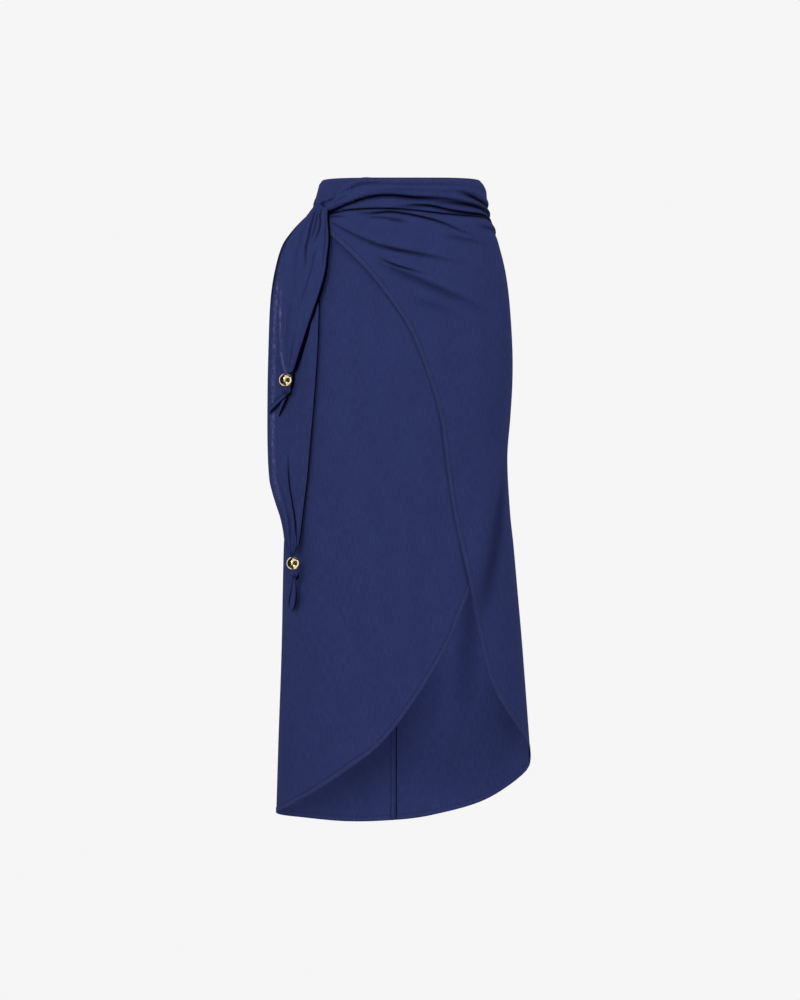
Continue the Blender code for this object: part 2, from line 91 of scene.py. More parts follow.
RING_POWER = 2.5
WRAP_HALF, TIE_HALF, FRONT_HALF, BACK_HALF = 1, 2, 3, 4
RINGS = (
    (0.000, 0.1210, 0.1215, 0.090, 0.092),
    (0.035, 0.1245, 0.1265, 0.093, 0.096),
    (0.070, 0.1350, 0.1370, 0.099, 0.104),
    (0.126, 0.1500, 0.1520, 0.107, 0.115),
    (0.180, 0.1590, 0.1595, 0.111, 0.121),
    (0.233, 0.1635, 0.1635, 0.113, 0.125),
    (0.286, 0.1640, 0.1650, 0.114, 0.126),
    (0.340, 0.1610, 0.1660, 0.114, 0.126),
    (0.401, 0.1565, 0.1670, 0.114, 0.125),
    (0.481, 0.1605, 0.1690, 0.115, 0.125),
    (0.534, 0.1660, 0.1730, 0.116, 0.126),
    (0.711, 0.1810, 0.1770, 0.120, 0.130),
    (0.853, 0.1910, 0.1815, 0.123, 0.133),
    (0.950, 0.1960, 0.1850, 0.125, 0.135),
)

# Angle and drop along the back's hem
BACK_HEM = (
    (90.0, 0.846),
    (110.0, 0.879),
    (134.0, 0.923),
    (160.0, 0.945),
    (183.5, 0.953),
    (214.0, 0.954),
    (242.0, 0.942),
    (270.0, 0.926),
)

# Share of the way from the tie side to the wrap side; where the cloth starts at the top, and where
# its free edge is
TOP_ANGLE, TOP_DROP, EDGE_ANGLE, EDGE_DROP = 1, 2, 3, 4
OVER_EDGE = (
    (0.00, -67.0, 0.0400, -55.0, 0.0760),
    (0.06, -56.0, 0.0240, -41.4, 0.0994),
    (0.12, -44.7, 0.0067, -23.8, 0.1365),
    (0.18, -34.0, 0.0000, -8.0, 0.1771),
    (0.24, -24.0, 0.0000, 6.4, 0.2203),
    (0.32, -10.0, 0.0000, 19.0, 0.2860),
    (0.40, 3.0, 0.0000, 27.1, 0.3494),
    (0.52, 22.0, 0.0000, 33.7, 0.4643),
    (0.66, 43.0, 0.0000, 43.6, 0.5938),
    (0.80, 62.0, 0.0000, 52.9, 0.7237),
    (0.90, 76.0, 0.0000, 68.0, 0.7939),
    (1.00, 90.0, 0.0000, 90.0, 0.8460),
)
UNDER_EDGE = (
    (0.00, -90.0, 0.0, -90.0, 0.9260),
    (0.10, -74.0, 0.0, -72.0, 0.9160),
    (0.22, -54.0, 0.0, -53.1, 0.8894),
    (0.34, -34.0, 0.0, -34.7, 0.8545),
    (0.48, -10.0, 0.0, -13.9, 0.8153),
    (0.60, 11.0, 0.0, 8.0, 0.7560),
    (0.72, 33.0, 0.0, 29.8, 0.6767),
    (0.80, 48.0, 0.0, 43.6, 0.5967),
    (0.90, 68.0, 0.0, 66.0, 0.4700),
    (1.00, 87.0, 0.0, 87.0, 0.3600),
)
KNOT_BULGE = 0.0030
KNOT_BULGE_ANGLE = -84.0
KNOT_BULGE_WIDTH = 22.0
EDGE_RISE = 0.0014
EDGE_RISE_SIDE = 0.0052
EDGE_RISE_FADE = 0.030
EDGE_CURL = 0.0048
EDGE_CURL_REACH = 0.0044
TUCK_START = -78.0
TUCK_END = -52.0

# The gathered cloth stands out of the worn form round the waist
PUFF = 0.0042
PUFF_START = 0.014
PUFF_FADE = 0.100
PUFF_END = 0.235
BACK_PUFF = 0.65
KNOT_PUFF = 0.45
SOFTNESS = 0.00067

# ---------------------------------------------------------------------------------------------
# Creases pulled towards the knot, in degrees and millimetres. Each follows a line of angles and
# drops. Its cloth rises into a roll above the line, drops steeply over a lip into the groove, and
# comes back out slowly below it.
# ---------------------------------------------------------------------------------------------

# The dark column says how strong the painted shade is in each crease's groove, just under its lip
PULL_NAMES = ("line", "above", "below", "depth", "roll", "roll_size", "lip", "rise", "fall", "dark")
PULLS = (
    # Soft ripples of the waist band
    (((-36, 9.4), (-18, 8.8), (8, 9.2), (33, 9.4), (52, 9.8), (70, 12.2)),
     1.6, 2.2, 0.7, 0.5, 2.4, 0.0, 0.30, 0.6, 0.25),
    (((-28, 17.6), (-5, 16.2), (16, 17.4), (36, 18.4), (52, 18.6), (67, 21.0)),
     1.8, 2.6, 0.9, 0.8, 2.8, 0.2, 0.30, 0.6, 0.20),
    (((-55, 23.0), (-50, 18.5), (-46, 16.0), (-41, 13.0), (-36, 9.8), (-31, 7.8), (-24, 6.9), (-12, 6.6)),
     1.6, 3.2, 1.3, 1.1, 2.6, 0.3, 0.30, 0.5, 0.40),
    # The band into the knot, and the pleats under it
    (((-62, 48.5), (-56, 44.2), (-51, 40.4), (-42, 33.6), (-34, 28.6), (-28, 25.8), (-19, 23.6),
      (-10, 23.2), (-1, 24.1), (10, 26.0), (24, 27.0), (35, 27.7), (46, 29.0)),
     2.5, 4.9, 8.4, 3.8, 4.6, 3.0, 0.01, 0.68, 1.0),
    (((-58, 48.4), (-51, 46.6), (-46, 44.6), (-38, 43.5), (-27, 43.0), (-16, 42.7), (-4, 43.2), (8, 45.0),
      (19, 46.8), (28, 48.6), (38, 50.2), (49, 51.3), (60, 51.4), (73, 52.6), (84, 55.4), (94, 60.5)),
     1.2, 2.6, 4.8, 1.9, 3.4, 1.7, 0.02, 0.70, 1.0),
    (((-27, 50.2), (-20, 49.2), (-12, 47.9), (-4, 48.6), (8, 51.8), (19, 56.0), (27, 60.0), (34, 64.8),
      (40, 70.0), (46, 76.0), (54, 81.6)), 1.3, 3.0, 4.4, 1.5, 3.6, 1.3, 0.14, 0.5, 0.95),
    (((-13, 58.2), (-3, 60.9), (7, 63.9)), 2.0, 3.4, 1.6, 0.6, 3.4, 0.0, 0.3, 0.5, 0.5),
    (((-56, 52.8), (-49, 53.0), (-41, 54.6)), 1.2, 2.4, 1.4, 0.7, 2.6, 0.3, 0.1, 0.4, 0.5),
    (((-28, 55.6), (-15, 57.2), (-4, 59.1)), 1.4, 2.8, 1.4, 0.6, 2.8, 0.2, 0.3, 0.5, 0.4),
    # The pleats that bunch up at the wrap side
    (((48, 19.0), (54, 20.8), (59, 22.9), (64, 25.4), (69, 27.6), (75, 30.0), (84, 33.0), (94, 36.0)),
     2.2, 4.4, 5.8, 2.6, 4.0, 1.8, 0.30, 0.6, 1.0),
    (((30, 31.2), (40, 31.9), (46, 32.7), (55, 34.0), (65, 36.4), (74, 39.4), (84, 43.4), (102, 49.0),
      (116, 53)), 3.0, 5.6, 8.0, 3.4, 4.2, 2.4, 0.30, 0.6, 1.0),
    (((3, 40.2), (10, 38.6), (17, 38.3), (23, 38.4), (30, 40.4), (38, 43.8), (45, 45.7), (53, 46.8),
      (63, 47.2), (75, 49.2), (86, 54.6), (94, 60.0), (104, 66)),
     2.0, 4.0, 5.8, 2.1, 3.4, 1.8, 0.24, 0.65, 1.0),
    (((58, 66.5), (70, 67.0), (82, 70.5), (94, 76.0)), 2.2, 4.4, 2.4, 1.6, 5.0, 0.5, 0.3, 0.7, 0.35),
    (((30, 84.0), (46, 87.0), (62, 93.0)), 2.6, 5.0, 1.2, 0.9, 5.0, 0.0, 0.4, 0.5, 0.3),
    # The long soft pulls across the hip
    (((-51, 63.8), (-45, 70.9), (-39, 77.6), (-33, 84.0), (-26, 90.4), (-20, 95.2), (-14, 98.8), (-1, 104.4),
      (15, 110.2), (29, 115.8), (41, 121.5)), 1.7, 4.6, 3.4, 1.7, 5.0, 0.8, 0.60, 0.45, 0.75),
    (((-51, 63.8), (-45, 70.9), (-39, 77.6), (-33, 84.0), (-26, 90.4)),
     0.9, 1.4, 0.9, 0.5, 2.2, 0.2, 0.1, 0.5, 0.40),
    (((-16, 116.8), (-10, 121.8), (-4, 126.2), (3, 130.2), (9, 133.6), (17, 138.2)),
     1.2, 2.8, 2.8, 1.2, 3.6, 0.8, 0.35, 0.5, 0.75),
    (((-14, 127.2), (-6, 133.4), (3, 140.6), (18, 153.2), (32, 166.8), (44, 179.0), (55, 189.5)),
     3.2, 8.0, 3.0, 2.6, 6.4, 0.0, 0.30, 0.6, 0.30),
    (((8, 176.0), (22, 184.0), (38, 196.0)), 4.5, 8.0, 1.0, 0.8, 7.0, 0.0, 0.4, 0.5, 0.2),
    # Round the back
    (((100, 74), (134, 74), (168, 62)), 1.8, 4.2, 3.6, 1.5, 4.6, 1.0, 0.25, 0.6, 0.7),
    (((130, 40), (163, 39.5), (196, 33)), 1.5, 3.6, 3.2, 1.3, 4.0, 1.0, 0.25, 0.6, 0.7),
    (((176, 56), (219, 54), (262, 42)), 1.5, 3.8, 4.0, 1.5, 4.4, 1.2, 0.25, 0.6, 0.8),
    (((204, 86), (236, 76), (268, 60)), 2.2, 5.0, 3.4, 1.4, 5.0, 0.8, 0.25, 0.6, 0.6),
    (((140, 130), (179, 122), (218, 102)), 4.0, 7.0, 2.6, 1.3, 7.0, 0.0, 0.3, 0.6, 0.3),
    (((108, 27), (136, 24), (160, 26)), 1.6, 3.2, 2.2, 0.9, 3.6, 0.5, 0.3, 0.6, 0.5),
    (((196, 26), (226, 28), (256, 24)), 1.6, 3.2, 2.4, 1.0, 3.6, 0.6, 0.3, 0.6, 0.5),
)
PULL_LEAD = 0.15
ROLL_PLACE = 1.2
LIP_PLACE = 1.5
GROOVE_POWER = 1.6
CROWD_REACH = 9.0
SHADOW_SPREAD = 0.85
SHADOW_POWER = 2.2

# Soft folds that run down: the drop and angle of each end, the width in degrees, depth and ridge
FOLDS = (
    (0.430, 70.5, 0.615, 49.5, 4.6, 0.0050, 0.0038),
    (0.420, 128.0, 0.760, 140.0, 7.0, 0.0024, 0.0024),
    (0.500, 226.0, 0.820, 216.0, 7.0, 0.0024, 0.0024),
)
# Painted shade in a fold's valley, and painted highlight on the ridge beside it
FOLD_DARK = 0.44
FOLD_PALE = 0.10
FOLD_LEAD = 0.25
FOLD_RISE = 0.30
FOLD_FALL = 0.70
FOLD_RIDGE_PLACE = 2.1
FOLD_RIDGE_SPREAD = 1.5

# ---------------------------------------------------------------------------------------------
# The knot and the ties, in millimetres
# ---------------------------------------------------------------------------------------------

# The band of cloth that is pulled over the top edge, turns down at the knot and becomes the short
# tie: its outer and inner edge (x, drop), how far the edges stand out of the form, and how far the
# middle stands out of the edges
OUTER_X, OUTER_DROP, INNER_X, INNER_DROP, BAND_OUT, BAND_ROUND = 1, 2, 3, 4, 5, 6
BAND = (
    (0, -73.0, 7.2, -67.9, 31.0, 5.0, 1.0),
    (1, -83.8, 12.2, -79.5, 34.6, 6.0, 2.0),
    (2, -92.0, 18.0, -89.6, 38.5, 8.0, 3.0),
    (3, -97.5, 23.4, -97.7, 41.8, 10.0, 3.0),
    (4, -105.5, 25.8, -102.4, 43.1, 11.0, 3.0),
    (5, -113.4, 27.8, -106.1, 44.4, 11.5, 3.0),
    (6, -118.9, 30.4, -107.0, 47.5, 11.0, 3.0),
    (7, -125.1, 34.0, -107.0, 53.0, 10.0, 4.0),
    (8, -130.6, 40.2, -106.9, 60.0, 9.5, 4.5),
    (9, -137.5, 49.4, -106.2, 67.5, 9.5, 4.5),
    (10, -146.4, 60.6, -105.5, 77.2, 10.0, 4.5),
    (11, -158.4, 74.8, -105.2, 87.6, 10.5, 4.2),
    (12, -167.9, 95.8, -105.8, 97.4, 11.0, 3.6),
    (13, -174.2, 117.7, -107.8, 114.8, 11.0, 3.2),
    (14, -177.2, 139.4, -110.7, 136.4, 11.5, 2.6),
    (15, -178.2, 163.9, -117.8, 161.7, 11.5, 2.6),
    (16, -178.6, 187.0, -126.0, 185.6, 11.5, 2.6),
    (17, -178.6, 211.6, -135.1, 211.6, 11.5, 2.6),
    (18, -178.0, 234.7, -143.0, 235.4, 12.0, 2.6),
    (19, -176.4, 254.9, -149.3, 254.9, 13.0, 3.0),
    (20, -174.2, 268.0, -153.9, 269.6, 15.0, 3.2),
    (21, -171.6, 277.2, -157.6, 279.2, 17.5, 2.6),
    (21.6, -169.7, 281.6, -163.6, 282.0, 19.0, 2.2),
    (22, -169.4, 289.6, -164.0, 289.6, 19.0, 2.2),
)
KNOT_ENDS = 7
BAND_ENDS = 22
# Where the band dives under its own loop: the loop's roll, the pit, and the top of the short tie. PIT_DARK
# and VALLEY_DARK are painted shade; ARC_PALE and TOP_EDGE_PALE are painted highlights on the loop's arc and
# along the band's outer edge
PIT_ROW, PIT_ACROSS, PIT_DEPTH = 5.62, 0.36, 0.0042
PIT_DARK, PIT_ROWS, PIT_WIDTH = 0.64, 0.66, 0.25
ARC_ROW, ARC_BEND, ARC_HEIGHT, ARC_PALE = 6.15, 1.0, 0.0024, 0.30
VALLEY_DARK, VALLEY_SHARE = 0.15, 0.3
LOOP_ACROSS, LOOP_HEIGHT, LOOP_WIDTH = 0.13, 0.0026, 0.13
TOP_EDGE_PALE = 0.14
# How long a row of the band is, for its hem and for its weave, and the gap in rows that parts the
# knot from the short tie
HEM_ROW = 0.012
WEAVE_ROW = 0.014
KNOT_GAP = 0.01
# Pleats along the band: places (row of the band, share across), width, depth
BAND_PLEATS = (
    (((0, 0.30), (1, 0.26), (2, 0.20), (3.0, 0.12)), 1.7, 0.4),
    (((0.6, 0.62), (2, 0.62), (3.4, 0.66)), 1.8, 0.6),
    (((1.8, 0.06), (2.5, 0.14), (3.2, 0.27), (4.5, 0.36), (5.8, 0.34)), 1.9, 0.9),
    (((6.9, 0.20), (8, 0.24), (9, 0.31), (10, 0.38), (11, 0.47), (12, 0.49), (13, 0.54), (14, 0.56)),
     1.8, 1.9),
    (((6.5, 0.52), (8, 0.57), (9, 0.67), (10, 0.69), (11, 0.68), (12.0, 0.68)), 1.4, 1.8),
    (((7.2, 0.38), (8, 0.40), (9, 0.48), (10.6, 0.55), (11.6, 0.58)), 1.2, 1.2),
    (((8, 0.10), (9.5, 0.17), (11, 0.27), (13, 0.33), (15, 0.36)), 2.6, 0.5),
    (((12.0, 0.74), (13.6, 0.70), (15, 0.64), (16, 0.60)), 1.5, 0.9),
    (((15, 0.30), (17, 0.34), (19, 0.40), (20.6, 0.46)), 3.4, 0.5),
    (((17.5, 0.62), (19.0, 0.64), (20.2, 0.68), (21.5, 0.74)), 2.0, 0.8),
    (((6.8, 0.84), (8.5, 0.88), (10.5, 0.91), (12.5, 0.93), (14.5, 0.94)), 1.0, 1.0),
)

# The long tie: its two sides at each drop, how far it stands out and how it ripples
TIE_LEFT, TIE_RIGHT, TIE_OUT, TIE_RIPPLE = 1, 2, 3, 4
LONG_TIE = (
    (0.0470, -0.1345, -0.1110, 0.0000, 0.0004),
    (0.0560, -0.1448, -0.1118, 0.0000, 0.0008),
    (0.0700, -0.1580, -0.1125, 0.0000, 0.0010),
    (0.0910, -0.1728, -0.1140, 0.0000, 0.0012),
    (0.1280, -0.1835, -0.1160, 0.0000, 0.0012),
    (0.1720, -0.1900, -0.1185, 0.0000, 0.0008),
    (0.2450, -0.1930, -0.1210, 0.0000, 0.0006),
    (0.3180, -0.1945, -0.1260, 0.0000, 0.0006),
    (0.3910, -0.1945, -0.1325, 0.0000, 0.0006),
    (0.4350, -0.1920, -0.1365, 0.0000, 0.0008),
    (0.4540, -0.1876, -0.1389, 0.0003, 0.0009),
    (0.4710, -0.1823, -0.1411, 0.0008, 0.0010),
    (0.4880, -0.1764, -0.1431, 0.0017, 0.0012),
    (0.5050, -0.1722, -0.1450, 0.0030, 0.0012),
    (0.5300, -0.1675, -0.1490, 0.0065, 0.0012),
    (0.5430, -0.1599, -0.1553, 0.0108, 0.0006),
    (0.5545, -0.1598, -0.1554, 0.0113, 0.0000),
)
LONG_PLEATS = (
    (((0.396, 0.490), (0.420, 0.515), (0.444, 0.548), (0.466, 0.597), (0.491, 0.675), (0.5014, 0.72),
      (0.520, 0.82), (0.5345, 0.92), (0.556, 0.97)), 1.05, 2.8),
    (((0.430, 0.26), (0.470, 0.34), (0.510, 0.44), (0.540, 0.50)), 2.0, 0.7),
    (((0.060, 0.30), (0.100, 0.34), (0.150, 0.40), (0.200, 0.44)), 3.0, 1.4),
    (((0.060, 0.62), (0.100, 0.66), (0.160, 0.70)), 3.0, 1.2),
)
TIE_HEM = 0.005
# How strong the painted highlight along a tie's hem is
TIE_HEM_PALE = 1.05
# Painted shadow on the long tie where it lies deep in the gap beside the short tie's bead and knot: a line,
# and its reach
UNDER_BEAD = (
    (((-154.8, 270.0), (-155.5, 281.6), (-155.5, 290.3), (-157.7, 299.7), (-160.4, 304.8),
      (-160.6, 309.9)), 3.2),
)
TURN_SHARE = 1.03
TURN_COLUMNS = (1.004, 1.008, 1.013, 1.018, 1.024, 1.03)
SHORT_TURN = ((0, 0.0030), (12, 0.0032), (13, 0.0034), (15, 0.0048), (17, 0.0062), (20, 0.0064), (22, 0.0044))
TURN_DEPTH = 0.0060
LONG_TURN = 0.0016
LONG_TURN_DEPTH = 0.0032
TIE_LIFT = 0.0062
TIE_LEAN = 0.72

# Rolls of cloth, by sections along a middle line
PLACE, DROP, OUT, HALF_WIDTH, HALF_DEPTH = 0, 1, 2, 3, 4
SHORT_END = (
    (-0.1667, 0.2909, 0.0145, 0.0030, 0.0028),
    (-0.1667, 0.2985, 0.0145, 0.0030, 0.0028),
    (-0.1660, 0.3020, 0.0140, 0.0052, 0.0048),
    (-0.1655, 0.3056, 0.0130, 0.0061, 0.0056),
    (-0.1660, 0.3092, 0.0110, 0.0046, 0.0044),
    (-0.1664, 0.3120, 0.0090, 0.0012, 0.0012),
)
LONG_END = (
    (-0.1560, 0.5556, 0.0110, 0.0030, 0.0028),
    (-0.1560, 0.5640, 0.0110, 0.0030, 0.0028),
    (-0.1552, 0.5675, 0.0108, 0.0050, 0.0048),
    (-0.1547, 0.5710, 0.0104, 0.0058, 0.0054),
    (-0.1544, 0.5748, 0.0090, 0.0044, 0.0044),
    (-0.1542, 0.5778, 0.0070, 0.0012, 0.0012),
)
# The folded tails below each end's knot: left edge, right edge (x, drop) and how far out, in
# millimetres, and where the fold turns away from the light, as shares across, with how strong its painted
# shade is
SHORT_TAILS = (
    ((
        (-169.5, 310.1, -165.1, 315.2, 5.5),
        (-173.5, 313.0, -172.5, 321.7, 3.6),
        (-179.5, 316.3, -178.2, 328.2, 2.6),
        (-184.1, 320.2, -182.9, 332.5, 2.2),
        (-188.0, 324.9, -187.4, 336.3, 2.0),
        (-190.8, 331.1, -190.8, 339.8, 2.0),
    ), ((0.0, 0.12, 0.6), (0.66, 1.0, 0.95))),
    ((
        (-170.2, 313.7, -159.5, 309.4, 5.0),
        (-173.5, 321.7, -163.4, 317.3, 3.2),
        (-176.7, 328.9, -167.3, 326.5, 2.2),
        (-178.7, 335.4, -172.4, 336.2, 1.8),
        (-178.4, 341.9, -176.9, 343.5, 1.6),
    ), ((0.52, 1.0, 0.97),)),
)
LONG_TAILS = (
    ((
        (-156.0, 575.8, -150.9, 575.8, 5.0),
        (-157.2, 583.0, -151.8, 583.0, 3.4),
        (-159.0, 589.6, -151.2, 592.6, 2.6),
        (-160.6, 597.5, -150.8, 601.9, 2.2),
        (-162.4, 604.8, -151.1, 610.5, 2.0),
        (-163.2, 612.0, -152.5, 617.8, 1.8),
        (-162.7, 617.8, -155.4, 622.9, 1.6),
        (-159.6, 623.4, -158.2, 625.5, 1.4),
    ), ((0.0, 0.17, 0.85), (0.82, 1.0, 0.9))),
    ((
        (-151.7, 568.6, -148.3, 570.3, 5.0),
        (-151.4, 572.2, -146.9, 573.6, 4.4),
        (-151.9, 575.8, -148.0, 577.2, 3.6),
        (-152.7, 580.1, -151.5, 581.3, 2.6),
    ), ((0.1, 1.0, 0.95),)),
)
TAIL_THICK = 0.0007
TAIL_DOME = 0.0009
TAIL_ROWS = 48
# The band from the side seam to the knot
ROOT_START = -89.8
ROOT_END = -67.6
ROOT = (
    (0.0, 0.020, 0.060, 0.0010),
    (0.5, 0.028, 0.049, 0.0012),
    (1.0, 0.034, 0.044, 0.0020),
)
ROOT_PLEATS = 3.5
ROOT_PLEAT = 0.0004

# Fineness of the meshes: columns and rows
OVER_GRID = (148, 296)
UNDER_GRID = (130, 190)
BACK_GRID = (96, 250)
ALLOWANCE_GRID = (22, 240)
BAND_ACROSS = 72
KNOT_ALONG = 90
SHORT_ALONG = 200
LONG_GRID = (110, 320)
ROOT_GRID = (24, 60)
ROLL_SIDES = 40
ROLL_RINGS = 90
FINE_STEPS = 700


# ---------------------------------------------------------------------------------------------
# Shape helpers
# ---------------------------------------------------------------------------------------------


def mix(a, b, share):
    return a + (b - a) * share


def arc_of(angle):
    """The length along the cloth that an angle spans."""
    return np.radians(angle) * CLOTH_RADIUS


def smooth(low, high, value):
    """0 below low, 1 above high and a smooth rise between them."""
    share = np.clip((value - low) / (high - low), 0.0, 1.0)
    return share * share * (3 - 2 * share)


def read(table, column, at):
    """A column of a table at places in its first column, on a smooth curve through the rows."""
    rows = np.array([row[: column + 1] for row in table], float)
    places, values = rows[:, 0], rows[:, column]
    before = np.maximum(np.arange(len(rows)) - 1, 0)
    after = np.minimum(np.arange(len(rows)) + 1, len(rows) - 1)
    slopes = (values[after] - values[before]) / (places[after] - places[before])
    at = np.clip(at, places[0], places[-1])
    low = np.clip(np.searchsorted(places, at) - 1, 0, len(rows) - 2)
    span = places[low + 1] - places[low]
    t = (at - places[low]) / span
    start = (2 * t**3 - 3 * t**2 + 1) * values[low] + (t**3 - 2 * t**2 + t) * span * slopes[low]
    end = (3 * t**2 - 2 * t**3) * values[low + 1] + (t**3 - t**2) * span * slopes[low + 1]
    return start + end


def row_of(table, share):
    """All the columns of a table at shares of the way down its rows, on smooth curves."""
    rows = np.array(table, float)
    last = len(rows) - 1
    low = np.minimum((share * last).astype(int), last - 1)
    t = (share * last - low)[:, None]
    near = [rows[np.clip(low + step, 0, last)] for step in (-1, 0, 1, 2)]
    weights = (
        (2 * t**2 - t - t**3) / 2,
        (2 - 5 * t**2 + 3 * t**3) / 2,
        (t + 4 * t**2 - 3 * t**3) / 2,
        (t**3 - t**2) / 2,
    )
    return sum(weight * row for weight, row in zip(weights, near))


def ring_axes(side, front, drop):
    """Half width and half depth of the form's ring, on the side and face asked for."""
    half_width = np.where(side, read(RINGS, WRAP_HALF, drop), read(RINGS, TIE_HALF, drop))
    half_depth = np.where(front, read(RINGS, FRONT_HALF, drop), read(RINGS, BACK_HALF, drop))
    return half_width, half_depth


def on_skirt(angle, drop, out=0.0):
    """Points at these angles and drops, moved out of the worn form. The waist edge rises a little at
    the sides, where it also curves in."""
    side = np.sin(np.radians(angle))
    flank = np.abs(side) ** 3
    from_knot = (angle - KNOT_BULGE_ANGLE + 180.0) % 360.0 - 180.0
    bulge = smooth(0.006, 0.028, drop) * (1 - smooth(0.040, 0.080, drop))
    out = out + KNOT_BULGE * np.exp(-((from_knot / KNOT_BULGE_WIDTH) ** 2)) * bulge
    drop = drop - mix(EDGE_RISE, EDGE_RISE_SIDE, flank) * (1 - smooth(0.0, EDGE_RISE_FADE, drop))
    out = out - EDGE_CURL * flank * np.exp(-((np.maximum(drop + EDGE_RISE_SIDE, 0) / EDGE_CURL_REACH) ** 1.5))
    ahead = np.cos(np.radians(angle))
    half_width, half_depth = ring_axes(side > 0, ahead >= 0, drop)
    across = np.abs(side / half_width) ** RING_POWER + np.abs(ahead / half_depth) ** RING_POWER
    radius = across ** (-1 / RING_POWER)
    x = radius * side
    y = -radius * ahead
    normal_x = np.sign(x) * np.abs(x / half_width) ** (RING_POWER - 1) / half_width
    normal_y = np.sign(y) * np.abs(y / half_depth) ** (RING_POWER - 1) / half_depth
    length = np.hypot(normal_x, normal_y)
    x = x + normal_x / length * out
    y = y + normal_y / length * out
    return np.stack([x, y, WAIST_GRIP - drop + 0 * x], axis=-1)


def front_depth(x, drop):
    """The form's front at distances x from the middle: its depth there, and its slope."""
    half_width, half_depth = ring_axes(x > 0, True, drop)
    x = np.clip(x, -0.98 * half_width, 0.98 * half_width)
    depth = half_depth * (1 - np.abs(x / half_width) ** RING_POWER) ** (1 / RING_POWER)
    slope = (half_depth / half_width) ** RING_POWER * np.abs(x / depth) ** (RING_POWER - 1)
    return depth, slope


def on_ties(x, drop, out=0.0):
    """Points of the sheet that the ties hang in. It follows the form as far as the long tie's right
    side, and from there it leans back less than the form does. out is from the form itself."""
    rest = read(LONG_TIE, TIE_RIGHT, drop)
    rest_depth, rest_slope = front_depth(rest, drop)
    depth, slope = front_depth(np.maximum(x, rest), drop)
    lean = slope * mix(TIE_LEAN, 1.0, smooth(rest, rest + 0.03, x))
    depth = np.where(x > rest, depth, rest_depth - (rest - x) * rest_slope * TIE_LEAN)
    return np.stack([x, -depth - out * np.hypot(1.0, lean), WAIST_GRIP - drop + 0 * x], axis=-1)


def angle_at(x, drop):
    """The angle of the form's front at a distance x from the middle."""
    depth, _ = front_depth(x, drop)
    return np.degrees(np.arctan2(x, depth))


def swells(across, down, seed):
    """Smooth unevenness between -1 and 1, with one swell in each unit both ways."""
    lattice = np.random.default_rng(seed).uniform(-1, 1, (64, 64))
    column = np.floor(across).astype(int)
    row = np.floor(down).astype(int)
    along = smooth(0, 1, across - column)
    below = smooth(0, 1, down - row)
    upper = mix(lattice[row % 64, column % 64], lattice[row % 64, (column + 1) % 64], along)
    lower = mix(lattice[(row + 1) % 64, column % 64], lattice[(row + 1) % 64, (column + 1) % 64], along)
    return mix(upper, lower, below)


def pulls(angle, drop):
    """How the creases move the cloth, in metres: out and down along itself; then the painted shade
    in each groove, just under its lip (0 to 1), and how near to a crease a point is."""
    out = np.zeros(np.broadcast(angle, drop).shape)
    slide = out.copy()
    painted_shading = out.copy()
    near = out.copy()
    strength = bpy.context.scene.skirt_cloth.crease_depth
    for row in PULLS:
        now = dict(zip(PULL_NAMES, row))
        line = now["line"]
        below = drop / MM - read(line, 1, angle)
        share = (angle - line[0][0]) / (line[-1][0] - line[0][0])
        fade = smooth(-PULL_LEAD, now["rise"], share) * (1 - smooth(now["fall"], 1 + PULL_LEAD, share))
        width = np.where(below < 0, now["above"], now["below"])
        groove = np.exp(-(np.abs(below / width) ** GROOVE_POWER))
        roll = np.exp(-((below / now["roll_size"] + ROLL_PLACE) ** 2))
        lip = np.exp(-((below / now["above"] + LIP_PLACE) ** 2))
        out += fade * (now["roll"] * roll - now["depth"] * groove) * MM * strength
        slide += fade * now["lip"] * lip * MM * strength
        # Painted shade: darkest just under the lip, as strong as the crease's dark column
        shadow = np.exp(-(np.abs((below - 0.4) / width / SHADOW_SPREAD) ** SHADOW_POWER))
        painted_shading = np.maximum(painted_shading, fade * shadow * now["dark"])
        near = np.maximum(near, fade * np.exp(-((below / CROWD_REACH) ** 2)))
    return out, slide, painted_shading, near


def folds(angle, drop):
    """How the folds that run down the skirt move the cloth out, and their painted shading: painted shade in
    each valley and a painted highlight on the ridge beside it.
    """
    out = np.zeros(np.broadcast(angle, drop).shape)
    painted_shading = out.copy()
    for start, start_angle, end, end_angle, width, depth, ridge in FOLDS:
        share = (drop - start) / (end - start)
        aside = (angle - mix(start_angle, end_angle, share)) / width
        fade = smooth(-FOLD_LEAD, FOLD_RISE, share) * (1 - smooth(FOLD_FALL, 1 + FOLD_LEAD, share))
        ridges = np.exp(-(((aside + FOLD_RIDGE_PLACE) / FOLD_RIDGE_SPREAD) ** 2))
        out += fade * (ridge * ridges - depth * np.exp(-(aside**2)))
        painted_shading = np.maximum(painted_shading, FOLD_DARK * fade * np.exp(-((aside - 0.2) ** 2)))
        painted_shading = painted_shading - FOLD_PALE * fade * np.exp(-(((aside + 1.5) / 0.6) ** 2))
    return out, painted_shading


def relief(angle, drop):
    """How far the cloth stands out of the worn form and slides down it, and its painted shade and painted
    highlights.
    """
    rise = PUFF * smooth(0.0, PUFF_START, drop) * (1 - smooth(PUFF_FADE, PUFF_END, drop))
    rise = rise * mix(1.0, BACK_PUFF, smooth(120.0, 180.0, angle))
    rise = rise * mix(KNOT_PUFF, 1.0, smooth(-60.0, -36.0, angle))
    out, slide, painted_shading, _ = pulls(angle, drop)
    arc = np.radians(angle) * SWELL_RADIUS
    fold_out, fold_painted_shading = folds(angle, drop)
    out = rise + out + fold_out
    painted_shading = np.clip(painted_shading + fold_painted_shading, -1.0, 1.0)
    out = out + 0.0005 * swells(arc / 0.05 + 3, drop / 0.08 + arc / 0.09, 5) * smooth(0.01, 0.05, drop)
    out = out + 0.0004 * swells(arc / 0.03, drop / 0.016 + arc / 0.05, 6) * (1 - smooth(0.07, 0.13, drop))
    out = SOFTNESS * np.log1p(np.exp(out / SOFTNESS))
    ends = 1 - smooth(258.0, 269.0, angle)
    return out * ends, slide * ends * smooth(0.004, 0.014, drop), painted_shading * ends


